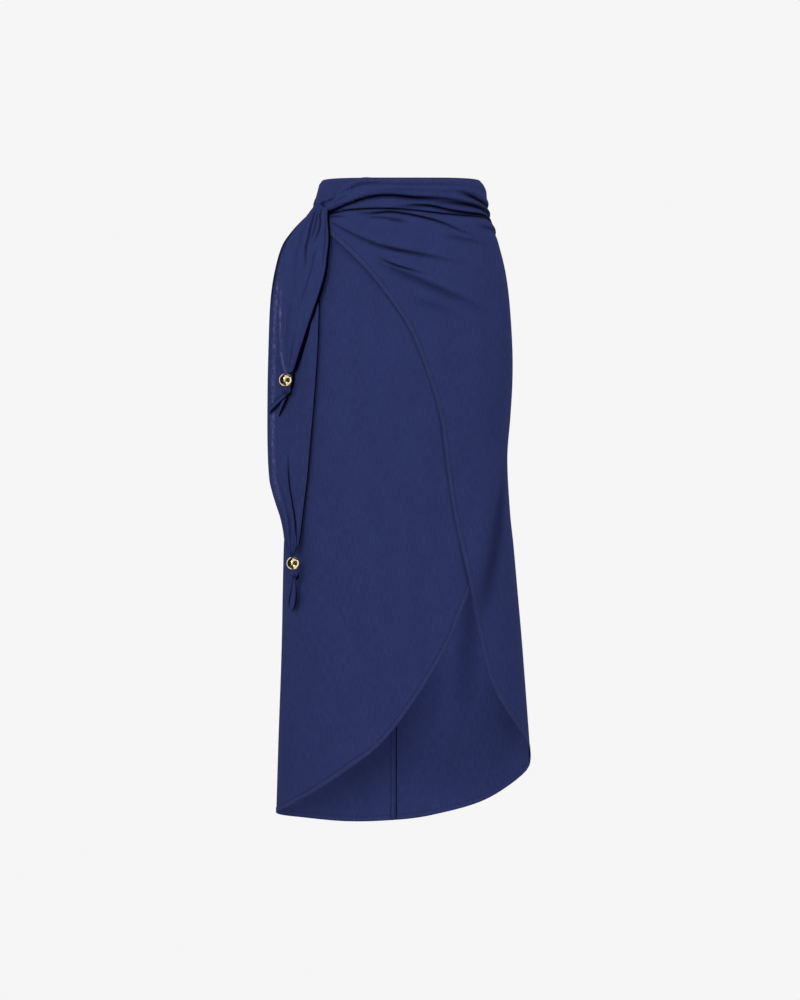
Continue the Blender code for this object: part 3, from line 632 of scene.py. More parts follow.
def to_edge(angle, drop, edge_angle, edge_drop):
    """The distance of points to an edge, and how far along the edge, measured on the cloth."""
    places = np.stack([arc_of(angle), drop], axis=-1).reshape(-1, 2)
    line = np.stack([arc_of(edge_angle), edge_drop], axis=-1)
    length = np.concatenate([[0.0], np.cumsum(np.linalg.norm(np.diff(line, axis=0), axis=1))])
    best = np.full(len(places), np.inf)
    along = np.zeros(len(places))
    for index in range(len(line) - 1):
        step = line[index + 1] - line[index]
        away = places - line[index]
        share = np.clip(away @ step / (step @ step), 0.0, 1.0)
        far = np.linalg.norm(away - share[:, None] * step, axis=1)
        closer = far < best
        best = np.where(closer, far, best)
        along = np.where(closer, length[index] + share * (length[index + 1] - length[index]), along)
    shape = np.broadcast(angle, drop).shape
    return best.reshape(shape), along.reshape(shape)


# A stitched hem. Its layers stand out, its two rows of stitches dip in, one this far from the hem's
# inner side and one this far from the cloth's edge, and the edge is rounded.
HEM_LAYERS = 0.00060
HEM_STEP_BEFORE, HEM_STEP_AFTER = 0.0007, 0.0005
HEM_ROW_PLACE, EDGE_ROW_PLACE = 0.0009, 0.0016
HEM_ROW_DIP, EDGE_ROW_DIP, DIP_WIDTH = 0.00050, 0.00030, 0.0006
EDGE_ROUNDING, EDGE_ROUNDING_WIDTH = 0.00030, 0.0007
HEM_PUCKER, PUCKER_ALONG, PUCKER_ACROSS = 0.00022, 0.0045, 0.006
# Painted shade along the two rows: how strong, where, how wide, and how much that changes along them
HEM_ROW_DARK, HEM_DARK_PLACE, HEM_DARK_WIDTH = 0.44, 0.0004, 0.0009
EDGE_ROW_DARK, EDGE_DARK_PLACE, EDGE_DARK_WIDTH = 0.28, 0.0014, 0.0007
# Painted highlight along the middle of the hem's raised fold
HEM_HIGHLIGHT = 0.08
DASH_MEAN, DASH_SWING, DASH_ALONG, DASH_ACROSS = 0.65, 0.35, 0.0030, 0.01
# How far stitches stand out on a hem and on the waist
THREAD_LIFT = 0.00045
WAIST_THREAD_LIFT = 0.00025


def hem(distance, along, width, seed):
    """How far a hem of this width stands out: a second and third layer, puckered by its stitches."""
    turned = 1 - smooth(width - HEM_STEP_BEFORE, width + HEM_STEP_AFTER, distance)
    step = HEM_LAYERS * turned
    seam = HEM_ROW_DIP * np.exp(-(((distance - width + HEM_ROW_PLACE) / DIP_WIDTH) ** 2))
    edge_seam = EDGE_ROW_DIP * np.exp(-(((distance - EDGE_ROW_PLACE) / DIP_WIDTH) ** 2))
    rounded = EDGE_ROUNDING * np.exp(-((distance / EDGE_ROUNDING_WIDTH) ** 2))
    pucker = HEM_PUCKER * swells(along / PUCKER_ALONG, distance / PUCKER_ACROSS, seed) * turned
    return step - seam - edge_seam - rounded + pucker


def hem_dark(distance, along, width, seed):
    """Painted shade along the stitch lines of a hem, and a painted highlight along its raised fold."""
    dashes = DASH_MEAN + DASH_SWING * swells(along / DASH_ALONG, distance / DASH_ACROSS, seed)
    seam = HEM_ROW_DARK * np.exp(-(((distance - width + HEM_DARK_PLACE) / HEM_DARK_WIDTH) ** 2))
    edge_seam = EDGE_ROW_DARK * np.exp(-(((distance - EDGE_DARK_PLACE) / EDGE_DARK_WIDTH) ** 2))
    painted_highlight = HEM_HIGHLIGHT * np.exp(-(((distance - 0.5 * width) / (0.2 * width)) ** 2))
    return (seam + edge_seam - painted_highlight) * dashes


def rows_between(place, count, crowding):
    """Shares down each column, closer together where the crowding is higher."""
    fine = np.linspace(0.0, 1.0, FINE_STEPS)[:, None]
    crowd = crowding(*place(fine))
    total = np.cumsum(np.vstack([np.zeros_like(crowd[:1]), (crowd[1:] + crowd[:-1]) / 2]), axis=0)
    total /= total[-1]
    even = np.linspace(0.0, 1.0, count + 1)
    return np.stack([np.interp(even, column, fine[:, 0]) for column in total.T], axis=1)


# ---------------------------------------------------------------------------------------------
# Meshes
# ---------------------------------------------------------------------------------------------


def skirt_collection():
    found = bpy.data.collections.get("wrap_skirt")
    if found is None:
        found = bpy.data.collections.new("wrap_skirt")
        bpy.context.scene.collection.children.link(found)
    return found


def new_piece(name, mesh, material, slot):
    mesh.shade_smooth()
    mesh.materials.append(material)
    piece = bpy.data.objects.new(name, mesh)
    skirt_collection().objects.link(piece)
    piece.visible_glossy = slot != CLOTH_SLOT
    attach(piece, BODY)
    return piece


def quads_of(index):
    """The four-sided faces between the rows and columns of a grid of corners."""
    quads = np.stack([index[:-1, :-1], index[1:, :-1], index[1:, 1:], index[:-1, 1:]], axis=-1)
    return quads.reshape(-1, 4).tolist()


def mark_cloth(mesh, grain, painted_shading):
    """Keeps on a mesh where each point lies on the flat cloth, and its painted shading: painted shade above
    0, painted highlight below 0.
    """
    mesh.attributes.new("grain", "FLOAT_VECTOR", "POINT").data.foreach_set("vector", grain.ravel())
    mesh.attributes.new("painted_shading", "FLOAT", "POINT").data.foreach_set("value", painted_shading)


def turn_outward(mesh, merge=0.0):
    """Joins corners that lie closer than merge, and turns all faces outward."""
    shape = bmesh.new()
    shape.from_mesh(mesh)
    if merge:
        bmesh.ops.remove_doubles(shape, verts=shape.verts, dist=merge)
    bmesh.ops.recalc_face_normals(shape, faces=shape.faces)
    shape.to_mesh(mesh)
    shape.free()


def grid_mesh(name, points, wrapped=False):
    """A mesh of four-sided faces on a grid of points; wrapped joins its last column to its first."""
    rows, columns = points.shape[:2]
    index = np.arange(rows * columns).reshape(rows, columns)
    if wrapped:
        index = np.hstack([index, index[:, :1]])
    mesh = bpy.data.meshes.new(name)
    mesh.from_pydata(points.reshape(-1, 3).tolist(), [], quads_of(index))
    return mesh


def cloth_sheet(name, points, grain, painted_shading, material, thickness=None, wrong_side=None):
    """A sheet of cloth on a grid of points. grain is where each point lies on the flat cloth, in
    metres, and the shading given is painted: painted shade above 0, painted highlight below 0.
    wrong_side is the cloth's inner face."""
    mesh = grid_mesh(name, points)
    flat = np.zeros(points.shape, np.float32)
    flat[..., 0] = grain[0]
    flat[..., 1] = grain[1]
    mark_cloth(mesh, flat, np.broadcast_to(painted_shading, points.shape[:2]).astype(np.float32).ravel())
    piece = new_piece(name, mesh, material, CLOTH_SLOT)
    wall = piece.modifiers.new("thickness", "SOLIDIFY")
    wall.thickness = thickness or bpy.context.scene.skirt_cloth.thickness
    wall.offset = -1.0
    if wrong_side:
        mesh.materials.append(wrong_side)
        wall.material_offset = 1
    return piece


def rolls_of_cloth(name, rolls, material):
    """One mesh from closed rolls, each given as rings of points, places on the cloth and painted shade."""
    points, faces, grain, shade = [], [], [], []
    for ring_points, ring_grain, ring_shade in rolls:
        rows, sides = ring_points.shape[:2]
        first = sum(len(part) for part in points)
        index = first + np.arange(rows * sides).reshape(rows, sides)
        faces += quads_of(np.hstack([index, index[:, :1]])) + [index[0].tolist(), index[-1].tolist()]
        points.append(ring_points.reshape(-1, 3))
        grain.append(ring_grain.reshape(-1, 3))
        shade.append(np.broadcast_to(ring_shade, (rows, sides)).reshape(-1))
    mesh = bpy.data.meshes.new(name)
    mesh.from_pydata(np.concatenate(points).tolist(), [], faces)
    mark_cloth(mesh, np.concatenate(grain).astype(np.float32), np.concatenate(shade).astype(np.float32))
    turn_outward(mesh)
    return new_piece(name, mesh, material, CLOTH_SLOT)


# A stem's rolled cloth: how many pleats run down it, how deep they are as a share, and how far they
# twist. Then the size of the cloth it is rolled from, for its weave, and how strong the painted shade in its
# pleats is.
STEM_PLEATS, STEM_PLEAT, STEM_TWIST = 4, 0.10, 3.0
STEM_ROUND, STEM_LENGTH = 0.004, 0.04
STEM_DARK = 3
# How far the painted shade of a tail's fold takes to fade outside and inside its place, as shares across
TAIL_SHADE_FADE, TAIL_SHADE_RISE = 0.06, 0.02


def tube(middle, wide, deep):
    """A roll of pleated cloth round a middle line. wide and deep are the half sizes as vectors."""
    turn = np.linspace(0.0, 2 * math.pi, ROLL_SIDES, endpoint=False)[None, :]
    share = np.linspace(0.0, 1.0, len(middle))[:, None]
    swell = 1 + STEM_PLEAT * np.cos(STEM_PLEATS * turn + STEM_TWIST * share)
    aside = wide[:, None] * (np.cos(turn) * swell)[..., None]
    ring = aside + deep[:, None] * (np.sin(turn) * swell)[..., None]
    places = [turn * STEM_ROUND + 0 * share, share * STEM_LENGTH + 0 * turn, 0 * share * turn]
    flat = np.stack(places, axis=-1)
    # Painted shade in the grooves of the stem's pleats
    shade = np.clip(-np.cos(STEM_PLEATS * turn + STEM_TWIST * share) * STEM_PLEAT * STEM_DARK, 0, 1)
    return middle[:, None] + ring, flat, shade


def tail(rows, folds_away):
    """A flat folded tail between two edges, as a thin closed roll."""
    turn = np.linspace(0.0, 2 * math.pi, ROLL_SIDES, endpoint=False)[None, :]
    across = 0.5 * (1 - np.cos(turn))
    share = np.linspace(0.0, 1.0, TAIL_ROWS)[:, None]
    table = tuple((index / (len(rows) - 1), *row) for index, row in enumerate(rows))
    left_x, left_drop, right_x, right_drop, out = (read(table, column, share) * MM for column in range(1, 6))
    x = mix(left_x, right_x, across)
    drop = mix(left_drop, right_drop, across)
    middle = 4 * across * (1 - across)
    out = out + TIE_LIFT + TAIL_DOME * middle + TAIL_THICK * np.sin(turn)
    # Painted shade where the fold turns away from the light
    shade = 0 * out
    for start, end, depth in folds_away:
        inside = smooth(start - TAIL_SHADE_FADE, start + TAIL_SHADE_RISE, across)
        inside = inside * (1 - smooth(end - TAIL_SHADE_RISE, end + TAIL_SHADE_FADE, across))
        shade = np.maximum(shade, depth * inside)
    flat = np.stack([x, drop, 0 * x], axis=-1)
    return on_ties(x, drop, out), flat, shade


def roll_sections(table):
    """The middle line and the half sizes, as vectors, of a roll that hangs with the ties."""
    share = np.linspace(0.0, 1.0, ROLL_RINGS)
    now = row_of(table, share)
    middle = on_ties(now[:, PLACE], now[:, DROP], now[:, OUT])
    outward = middle - on_ties(now[:, PLACE], now[:, DROP], 0 * now[:, OUT])
    outward /= np.linalg.norm(outward, axis=1)[:, None]
    along = np.gradient(middle, axis=0)
    along /= np.linalg.norm(along, axis=1)[:, None]
    wide = np.cross(along, outward)
    wide /= np.linalg.norm(wide, axis=1)[:, None]
    return middle, wide * now[:, HALF_WIDTH, None], outward * now[:, HALF_DEPTH, None]


# ---------------------------------------------------------------------------------------------
# Materials
# ---------------------------------------------------------------------------------------------


def add_node(tree, kind, **settings):
    node = tree.nodes.new(kind)
    for name, value in settings.items():
        if name in node.inputs:
            node.inputs[name].default_value = value
        else:
            setattr(node, name, value)
    return node


def math_node(tree, operation, first, second):
    node = add_node(tree, "ShaderNodeMath", operation=operation)
    for socket, value in zip(node.inputs, (first, second)):
        if isinstance(value, (int, float)):
            socket.default_value = value
        else:
            tree.links.new(value, socket)
    return node.outputs[0]


def blank_material(name):
    """A new material, with its node tree and its shader."""
    material = bpy.data.materials.new(name)
    material.use_nodes = True
    return material, material.node_tree, material.node_tree.nodes["Principled BSDF"]


def tones(tree, factor, colour, lifts, places=(0.0, 1.0)):
    """A colour between two of its tones: the factor says where between the two places it is."""
    ramp = add_node(tree, "ShaderNodeValToRGB")
    tree.links.new(factor, ramp.inputs["Fac"])
    for stop, place, lift in zip(ramp.color_ramp.elements, places, lifts):
        stop.position = place
        stop.color = (*(min(value * lift, 1.0) for value in colour), 1.0)
    return ramp.outputs["Color"]


def grain_noise(tree, grain, scale, detail, roughness=0.5):
    """Noise stretched along the cloth's threads: scale is how many cells a metre has each way."""
    stretch = add_node(tree, "ShaderNodeVectorMath", operation="MULTIPLY")
    tree.links.new(grain, stretch.inputs[0])
    stretch.inputs[1].default_value = scale
    noise = add_node(tree, "ShaderNodeTexNoise", Scale=1.0, Detail=detail, Roughness=roughness)
    tree.links.new(stretch.outputs[0], noise.inputs["Vector"])
    return noise.outputs["Fac"]


# How much paler each colour gets under a painted highlight, and what painted shade at its darkest leaves of
# it
HIGHLIGHT_LIFTS = (4.4, 3.4, 2.3)
PAINTED_SHADE_TINT = (0.03, 0.03, 0.05, 1.0)
# The cloth's unevenness: cells in a metre across and down, and how much of the flecks each one gives
UPRIGHT_THREADS, UPRIGHT_SHARE = (640.0, 70.0, 1.0), 0.62
LEVEL_THREADS, LEVEL_SHARE = (60.0, 760.0, 1.0), 0.20
CLOUDS, CLOUDS_SHARE = (26.0, 14.0, 1.0), 0.18
FLECK_PLACES = (0.30, 0.70)
# The cloth's relief: its weave, the crinkles of the crepe, and how high each stands
WEAVE_SCALE, WEAVE_DISTORTION, WEAVE_HEIGHT = 350.0, 1.5, 0.25
CRINKLES = (420.0, 260.0, 1.0)
THREAD_HEIGHT = 0.6
RELIEF_DEPTH = 0.0003
SHEEN_ROUGHNESS = 0.45
SHEEN_TINT = (0.55, 0.62, 1.0, 1.0)
# Sewing thread: how much lighter than the cloth its two tones are, and where they lie in its twist
THREAD_LIFTS, THREAD_PLACES = (1.05, 1.5), (0.35, 0.65)
THREAD_TWIST = 2500.0
THREAD_ROUGHNESS = 0.6
# Handling marks on the metal: their two tones, cells in a metre, and relief
MARK_LIFTS = (0.94, 1.04)
MARK_SCALE = 260.0
MARK_STRENGTH, MARK_DEPTH = 0.05, 0.0001
PAINT_ROUGHNESS = 0.9


def slubby_cloth(name, brightness=1.0):
    """Matte plain-weave cloth with uneven threads, faint upright flecks and a soft sheen."""
    found = bpy.data.materials.get(name)
    if found:
        return found
    sizes = bpy.context.scene.skirt_cloth
    material, tree, shader = blank_material(name)
    grain = add_node(tree, "ShaderNodeAttribute", attribute_name="grain").outputs["Vector"]
    painted_shading = add_node(tree, "ShaderNodeAttribute", attribute_name="painted_shading").outputs["Fac"]

    upright = grain_noise(tree, grain, UPRIGHT_THREADS, 3.0)
    level = grain_noise(tree, grain, LEVEL_THREADS, 2.0)
    clouds = grain_noise(tree, grain, CLOUDS, 2.0)
    flecks = math_node(tree, "MULTIPLY", upright, UPRIGHT_SHARE)
    flecks = math_node(tree, "ADD", flecks, math_node(tree, "MULTIPLY", level, LEVEL_SHARE))
    flecks = math_node(tree, "ADD", flecks, math_node(tree, "MULTIPLY", clouds, CLOUDS_SHARE))
    strength = sizes.fleck_strength
    base = [value * brightness for value in sizes.colour]
    colour = tones(tree, flecks, base, (1 - strength, 1 + strength), FLECK_PLACES)
    # Painted highlight: where the painted shading is below 0, the colour is mixed towards a paler tone
    highlight_mix = add_node(tree, "ShaderNodeMix", data_type="RGBA", blend_type="MIX")
    tree.links.new(math_node(tree, "MULTIPLY", painted_shading, -1.0), highlight_mix.inputs[0])
    tree.links.new(colour, highlight_mix.inputs[6])
    painted_highlight = (value * lift for value, lift in zip(base, HIGHLIGHT_LIFTS))
    highlight_mix.inputs[7].default_value = (*painted_highlight, 1.0)
    # Painted shade: where the painted shading is above 0, the colour is darkened towards the tint, in
    # creases, grooves, seams and under edges
    shaded = add_node(tree, "ShaderNodeMix", data_type="RGBA", blend_type="MULTIPLY")
    tree.links.new(painted_shading, shaded.inputs[0])
    tree.links.new(highlight_mix.outputs[2], shaded.inputs[6])
    shaded.inputs[7].default_value = PAINTED_SHADE_TINT
    tree.links.new(shaded.outputs[2], shader.inputs["Base Color"])

    warp = add_node(tree, "ShaderNodeTexWave", wave_type="BANDS", bands_direction="X", Scale=WEAVE_SCALE)
    weft = add_node(tree, "ShaderNodeTexWave", wave_type="BANDS", bands_direction="Y", Scale=WEAVE_SCALE)
    for wave in (warp, weft):
        wave.inputs["Distortion"].default_value = WEAVE_DISTORTION
        wave.inputs["Detail"].default_value = 1.0
        tree.links.new(grain, wave.inputs["Vector"])
    weave = math_node(tree, "ADD", warp.outputs["Fac"], weft.outputs["Fac"])
    crinkle = grain_noise(tree, grain, CRINKLES, 3.0, 0.6)
    height = math_node(tree, "ADD", math_node(tree, "MULTIPLY", weave, WEAVE_HEIGHT), crinkle)
    height = math_node(tree, "ADD", height, math_node(tree, "MULTIPLY", upright, THREAD_HEIGHT))
    bump = add_node(tree, "ShaderNodeBump", Strength=sizes.weave_relief, Distance=RELIEF_DEPTH)
    tree.links.new(height, bump.inputs["Height"])
    tree.links.new(bump.outputs["Normal"], shader.inputs["Normal"])

    shader.inputs["Roughness"].default_value = sizes.roughness
    shader.inputs["Specular IOR Level"].default_value = 0.0
    shader.inputs["Sheen Weight"].default_value = sizes.sheen
    shader.inputs["Sheen Roughness"].default_value = SHEEN_ROUGHNESS
    shader.inputs["Sheen Tint"].default_value = SHEEN_TINT
    return material


def sewing_thread():
    """Matte twisted thread, a shade lighter than the cloth."""
    found = bpy.data.materials.get("sewing_thread")
    if found:
        return found
    material, tree, shader = blank_material("sewing_thread")
    place = add_node(tree, "ShaderNodeTexCoord").outputs["Object"]
    twist = add_node(tree, "ShaderNodeTexNoise", Scale=THREAD_TWIST, Detail=1.0)
    tree.links.new(place, twist.inputs["Vector"])
    base = bpy.context.scene.skirt_cloth.colour
    colour = tones(tree, twist.outputs["Fac"], base, THREAD_LIFTS, THREAD_PLACES)
    tree.links.new(colour, shader.inputs["Base Color"])
    shader.inputs["Roughness"].default_value = THREAD_ROUGHNESS
    return material


def polished_gold():
    """Polished gold plate with the faintest handling marks."""
    found = bpy.data.materials.get("polished_gold")
    if found:
        return found
    sizes = bpy.context.scene.skirt_beads
    material, tree, shader = blank_material("polished_gold")
    place = add_node(tree, "ShaderNodeTexCoord").outputs["Object"]
    marks = add_node(tree, "ShaderNodeTexNoise", Scale=MARK_SCALE, Detail=4.0, Roughness=0.6)
    tree.links.new(place, marks.inputs["Vector"])
    colour = tones(tree, marks.outputs["Fac"], sizes.colour, MARK_LIFTS)
    tree.links.new(colour, shader.inputs["Base Color"])
    bump = add_node(tree, "ShaderNodeBump", Strength=MARK_STRENGTH, Distance=MARK_DEPTH)
    tree.links.new(marks.outputs["Fac"], bump.inputs["Height"])
    tree.links.new(bump.outputs["Normal"], shader.inputs["Normal"])
    shader.inputs["Metallic"].default_value = 1.0
    shader.inputs["Roughness"].default_value = sizes.roughness
    return material


def glowing_paint(name, colour):
    """Black matte paint that gives off one even colour, whatever light falls on it."""
    material, _, shader = blank_material(name)
    shader.inputs["Base Color"].default_value = (0.0, 0.0, 0.0, 1.0)
    shader.inputs["Roughness"].default_value = PAINT_ROUGHNESS
    shader.inputs["Specular IOR Level"].default_value = 0.0
    shader.inputs["Emission Color"].default_value = (*colour, 1.0)
    shader.inputs["Emission Strength"].default_value = 1.0
    return material


# ---------------------------------------------------------------------------------------------
# Stitches
# ---------------------------------------------------------------------------------------------

STITCH_PITCH = 0.0030
STITCH_LENGTH = 0.0023
STITCH_RADIUS = 0.00019
STITCH_SIDES = 5
# A stitch's cross sections: share of its length, size and how far it stands out, in radii
STITCH_SECTIONS = ((0.0, 0.25, -0.6), (0.18, 1.0, 0.3), (0.82, 1.0, 0.3), (1.0, 0.25, -0.6))


def stitch_row(points, outward):
    """Thread capsules along a line of points: their vertices and faces, on the outside."""
    steps = np.linalg.norm(np.diff(points, axis=0), axis=1)
    along = np.concatenate([[0.0], np.cumsum(steps)])
    starts = np.arange(0.5 * STITCH_PITCH, along[-1] - STITCH_PITCH, STITCH_PITCH)

    def at(place):
        return np.stack([np.interp(place, along, points[:, axis]) for axis in range(3)], axis=1)

    def out_at(place):
        normal = np.stack([np.interp(place, along, outward[:, axis]) for axis in range(3)], axis=1)
        return normal / np.linalg.norm(normal, axis=1)[:, None]

    direction = at(starts + STITCH_LENGTH) - at(starts)
    direction /= np.linalg.norm(direction, axis=1)[:, None]
    normal = out_at(starts + STITCH_LENGTH / 2)
    aside = np.cross(direction, normal)
    turn = np.linspace(0.0, 2 * math.pi, STITCH_SIDES, endpoint=False)
    vertices = []
    for share, size, lift in STITCH_SECTIONS:
        centre = at(starts + share * STITCH_LENGTH) + normal * lift * STITCH_RADIUS
        ring = (
            centre[:, None]
            + aside[:, None] * (np.cos(turn) * size * STITCH_RADIUS)[None, :, None]
            + normal[:, None] * (np.sin(turn) * size * STITCH_RADIUS)[None, :, None]
        )
        vertices.append(ring)
    vertices = np.stack(vertices, axis=1)
    count = len(starts)
    sections = len(STITCH_SECTIONS)
    index = np.arange(count * sections * STITCH_SIDES).reshape(count, sections, STITCH_SIDES)
    ahead = np.roll(index, -1, axis=2)
    sides = np.stack([index[:, :-1], index[:, 1:], ahead[:, 1:], ahead[:, :-1]], axis=-1)
    faces = sides.reshape(-1, 4).tolist()
    faces += index[:, 0, ::-1].tolist() + index[:, -1].tolist()
    return vertices.reshape(-1, 3), faces


def stitching(name, rows):
    """One object holding rows of stitches: each row is a line of points and their outward sides."""
    vertices, faces, first = [], [], 0
    for points, outward in rows:
        row_vertices, row_faces = stitch_row(points, outward)
        vertices.append(row_vertices)
        faces += [[corner + first for corner in face] for face in row_faces]
        first += len(row_vertices)
    mesh = bpy.data.meshes.new(name)
    mesh.from_pydata(np.concatenate(vertices).tolist(), [], faces)
    return new_piece(name, mesh, sewing_thread(), CLOTH_SLOT)


# ---------------------------------------------------------------------------------------------
# Panels
# ---------------------------------------------------------------------------------------------


# How many points a free edge, and the back's hem, is measured along
EDGE_POINTS = 260
BACK_EDGE_POINTS = 200
# Where each panel lies on the uncut cloth, in metres, so that no two have the same flecks
OVER_GRAIN, UNDER_GRAIN, BACK_GRAIN, ALLOWANCE_GRAIN = 0.0, 1.1, 2.0, 3.0
# How strong the painted shade along the stitch lines is: over front's waist, under front's hem, backs' hem
WAIST_DARK, UNDER_DARK, BACK_DARK = 0.5, 1.3, 0.55
# The drops between which a panel's rows lie closer together, for its gathers
GATHERS_FADE = (0.10, 0.26)
# The over front's waist stitches start this share of the way across, past the gathers at the knot
WAIST_STITCH_START = 0.14
# The under front hangs in faint swells, and its waist hem stands out a little less
UNDER_SWELL = 0.0006
UNDER_WAIST_SHARE = 0.8


def edge_place(edge, across, down):
    """Angle and drop on a front: a share of the way from its waist edge down to its free edge."""
    top_drop = read(edge, TOP_DROP, across)
    angle = mix(read(edge, TOP_ANGLE, across), read(edge, EDGE_ANGLE, across), down)
    return angle, mix(top_drop, read(edge, EDGE_DROP, across), down)


def seam_angle(angle, drop):
    """The angle that half a seam's gap spans."""
    place = on_skirt(angle, drop)
    return np.degrees(SEAM_GAP / 2 / np.hypot(place[..., 0], place[..., 1]))


def grain_of(angle, drop, shift):
    return arc_of(angle) + shift, drop


def in_from(edge_angle, edge_drop, width):
    """A line that runs this far in from an edge."""
    step = np.gradient(arc_of(edge_angle)), np.gradient(edge_drop)
    size = np.hypot(*step)
    shift = -step[1] / size * width, step[0] / size * width
    return edge_angle - np.degrees(shift[0] / CLOTH_RADIUS), edge_drop - shift[1]


def wall_point(angle, drop, hem_out):
    """A point of a gathered panel: the creases, and how far a hem stands out on top of them."""
    out, slide, painted_shading = relief(angle, drop)
    return on_skirt(angle, drop + slide, out + hem_out), painted_shading


def waist_hem(angle, drop, seed):
    sizes = bpy.context.scene.skirt_cloth
    return hem(drop, np.radians(angle) * WAIST_RADIUS + 0 * drop, sizes.waist_hem, seed)


def line_on(angle, drop, lift):
    """A line of points on the gathered cloth and their outward sides, for stitches to lie on."""
    out, slide, _ = relief(angle, drop)
    points = on_skirt(angle, drop + slide, out + lift)
    outward = points - on_skirt(angle, drop + slide, out + lift - MM)
    return points, outward / np.linalg.norm(outward, axis=1)[:, None]


def make_over_front():
    sizes = bpy.context.scene.skirt_cloth
    columns, rows = OVER_GRID
    across = np.linspace(0.0, 1.0, columns + 1)[None, :]

    def place(down):
        return edge_place(OVER_EDGE, across, down)

    def crowding(angle, drop):
        _, _, _, near = pulls(angle, drop)
        top = read(OVER_EDGE, TOP_DROP, across)
        edge = read(OVER_EDGE, EDGE_DROP, across)
        from_top = (drop - top) / 0.006
        from_edge = (edge - drop) / 0.009
        crowd = 1.0 + 5.0 * near + 3.0 * (1 - smooth(*GATHERS_FADE, drop))
        return crowd + 5.0 * np.exp(-(from_top**2)) + 5.0 * np.exp(-(from_edge**2))

    down = rows_between(place, rows, crowding)
    angle, drop = place(down)
    angle = angle - across * seam_angle(angle, drop)
    fine = np.linspace(0.0, 1.0, EDGE_POINTS)
    edge_angle, edge_drop = edge_place(OVER_EDGE, fine, np.ones_like(fine))
    distance, along = to_edge(angle, drop, edge_angle, edge_drop)
    hem_out = hem(distance, along, sizes.hem, 11)
    # Painted shade along the hems' stitch lines, and painted highlight on their raised folds
    seams = hem_dark(distance, along, sizes.hem, 13)
    top_angle, top_drop = edge_place(OVER_EDGE, fine, np.zeros_like(fine))
    distance, along = to_edge(angle, drop, top_angle, top_drop)
    hem_out = hem_out + hem(distance, along, sizes.waist_hem, 12)
    seams = seams + WAIST_DARK * hem_dark(distance, along, sizes.waist_hem, 14)
    points, painted_shading = wall_point(angle, drop, hem_out)
    painted_shading = np.clip(painted_shading + seams, -1.0, 1.0)
    cloth = slubby_cloth("slubby_cloth")
    panel = cloth_sheet("over_front_cloth", points, grain_of(angle, drop, OVER_GRAIN), painted_shading, cloth)
    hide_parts("over_front")

    widths = EDGE_ROW_PLACE, sizes.hem - HEM_ROW_PLACE
    lines = [line_on(*in_from(edge_angle, edge_drop, width), THREAD_LIFT) for width in widths]
    waist = fine[fine > WAIST_STITCH_START]
    waist_angle, _ = edge_place(OVER_EDGE, waist, np.zeros_like(waist))
    waist_row = np.full_like(waist_angle, sizes.waist_hem - HEM_ROW_PLACE)
    lines.append(line_on(waist_angle, waist_row, WAIST_THREAD_LIFT))
    thread = stitching("over_front_stitches", lines)


def make_under_front():
    sizes = bpy.context.scene.skirt_cloth
    columns, rows = UNDER_GRID
    across = np.linspace(0.0, 1.0, columns + 1)[None, :]

    def place(down):
        return edge_place(UNDER_EDGE, across, down)

    def crowding(_, drop):
        edge = read(UNDER_EDGE, EDGE_DROP, across)
        crowd = 1.0 + 4.0 * np.exp(-((drop / 0.008) ** 2)) + 6.0 * np.exp(-(((edge - drop) / 0.010) ** 2))
        return crowd + 2.0 * np.exp(-((drop / 0.05) ** 2))

    down = rows_between(place, rows, crowding)
    angle, drop = place(down)
    angle = angle + (1 - across) * seam_angle(angle, drop)
    fine = np.linspace(0.0, 1.0, EDGE_POINTS)
    edge_angle, edge_drop = edge_place(UNDER_EDGE, fine, np.ones_like(fine))
    distance, along = to_edge(angle, drop, edge_angle, edge_drop)
    arc = arc_of(angle)
    tucked = smooth(TUCK_START, TUCK_END, angle)
    out = -LAYER_STEP * tucked
    out = out + hem(distance, along, sizes.hem, 21) + waist_hem(angle, drop, 22) * UNDER_WAIST_SHARE
    pull = swells(arc / 0.055 + drop / 0.30, drop / 0.20, 23) + 0.5 * swells(arc / 0.03, drop / 0.12, 24)
    out = out + UNDER_SWELL * pull * smooth(0.05, 0.15, drop)
    points = on_skirt(angle, drop, out)
    # Painted shade along the hem's stitch lines, and painted highlight on its raised fold
    painted_shading = UNDER_DARK * hem_dark(distance, along, sizes.hem, 25)
    cloth = slubby_cloth("slubby_cloth")
    panel = cloth_sheet("under_front_cloth", points, grain_of(angle, drop, UNDER_GRAIN), painted_shading, cloth)
    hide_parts("under_front")

    def rim(width):
        at_angle, at_drop = in_from(edge_angle, edge_drop, width)
        lift = THREAD_LIFT - LAYER_STEP * smooth(TUCK_START, TUCK_END, at_angle)
        points = on_skirt(at_angle, at_drop, lift)
        outward = points - on_skirt(at_angle, at_drop, lift - MM)
        return points, outward

    widths = EDGE_ROW_PLACE, sizes.hem - HEM_ROW_PLACE
    thread = stitching("under_front_stitches", [rim(width) for width in widths])


# Seam allowances inside the backs, in millimetres from their seam: they start just past it. Then how
# far inside they lie, how far in from the waist and the hem they end, and their thickness, in metres.
WIDE_ALLOWANCE = (-1.0, 9.0)
NARROW_ALLOWANCE = (-1.0, 2.2)
ALLOWANCE_UNDER, ALLOWANCE_RIPPLE, NARROW_UNDER = 0.0011, 0.0003, 0.0009
ALLOWANCE_TOP, ALLOWANCE_BOTTOM = 0.0006, 0.0012
ALLOWANCE_THICKNESS = 0.0005
# The cloth's inner face is painted this much lighter than its outer face, as painted light, and painted shade
# darkens the cloth along the centre back seam
INSIDE_PAINTED_LIGHT = 1.62
CENTRE_DARK, CENTRE_DARK_WIDTH = 0.45, 0.0011
# The centre back seam puckers: how much, in what length, and how far from the seam
PUCKER_DEPTH, PUCKER_LENGTH, PUCKER_REACH = 0.0005, 0.012, 0.008
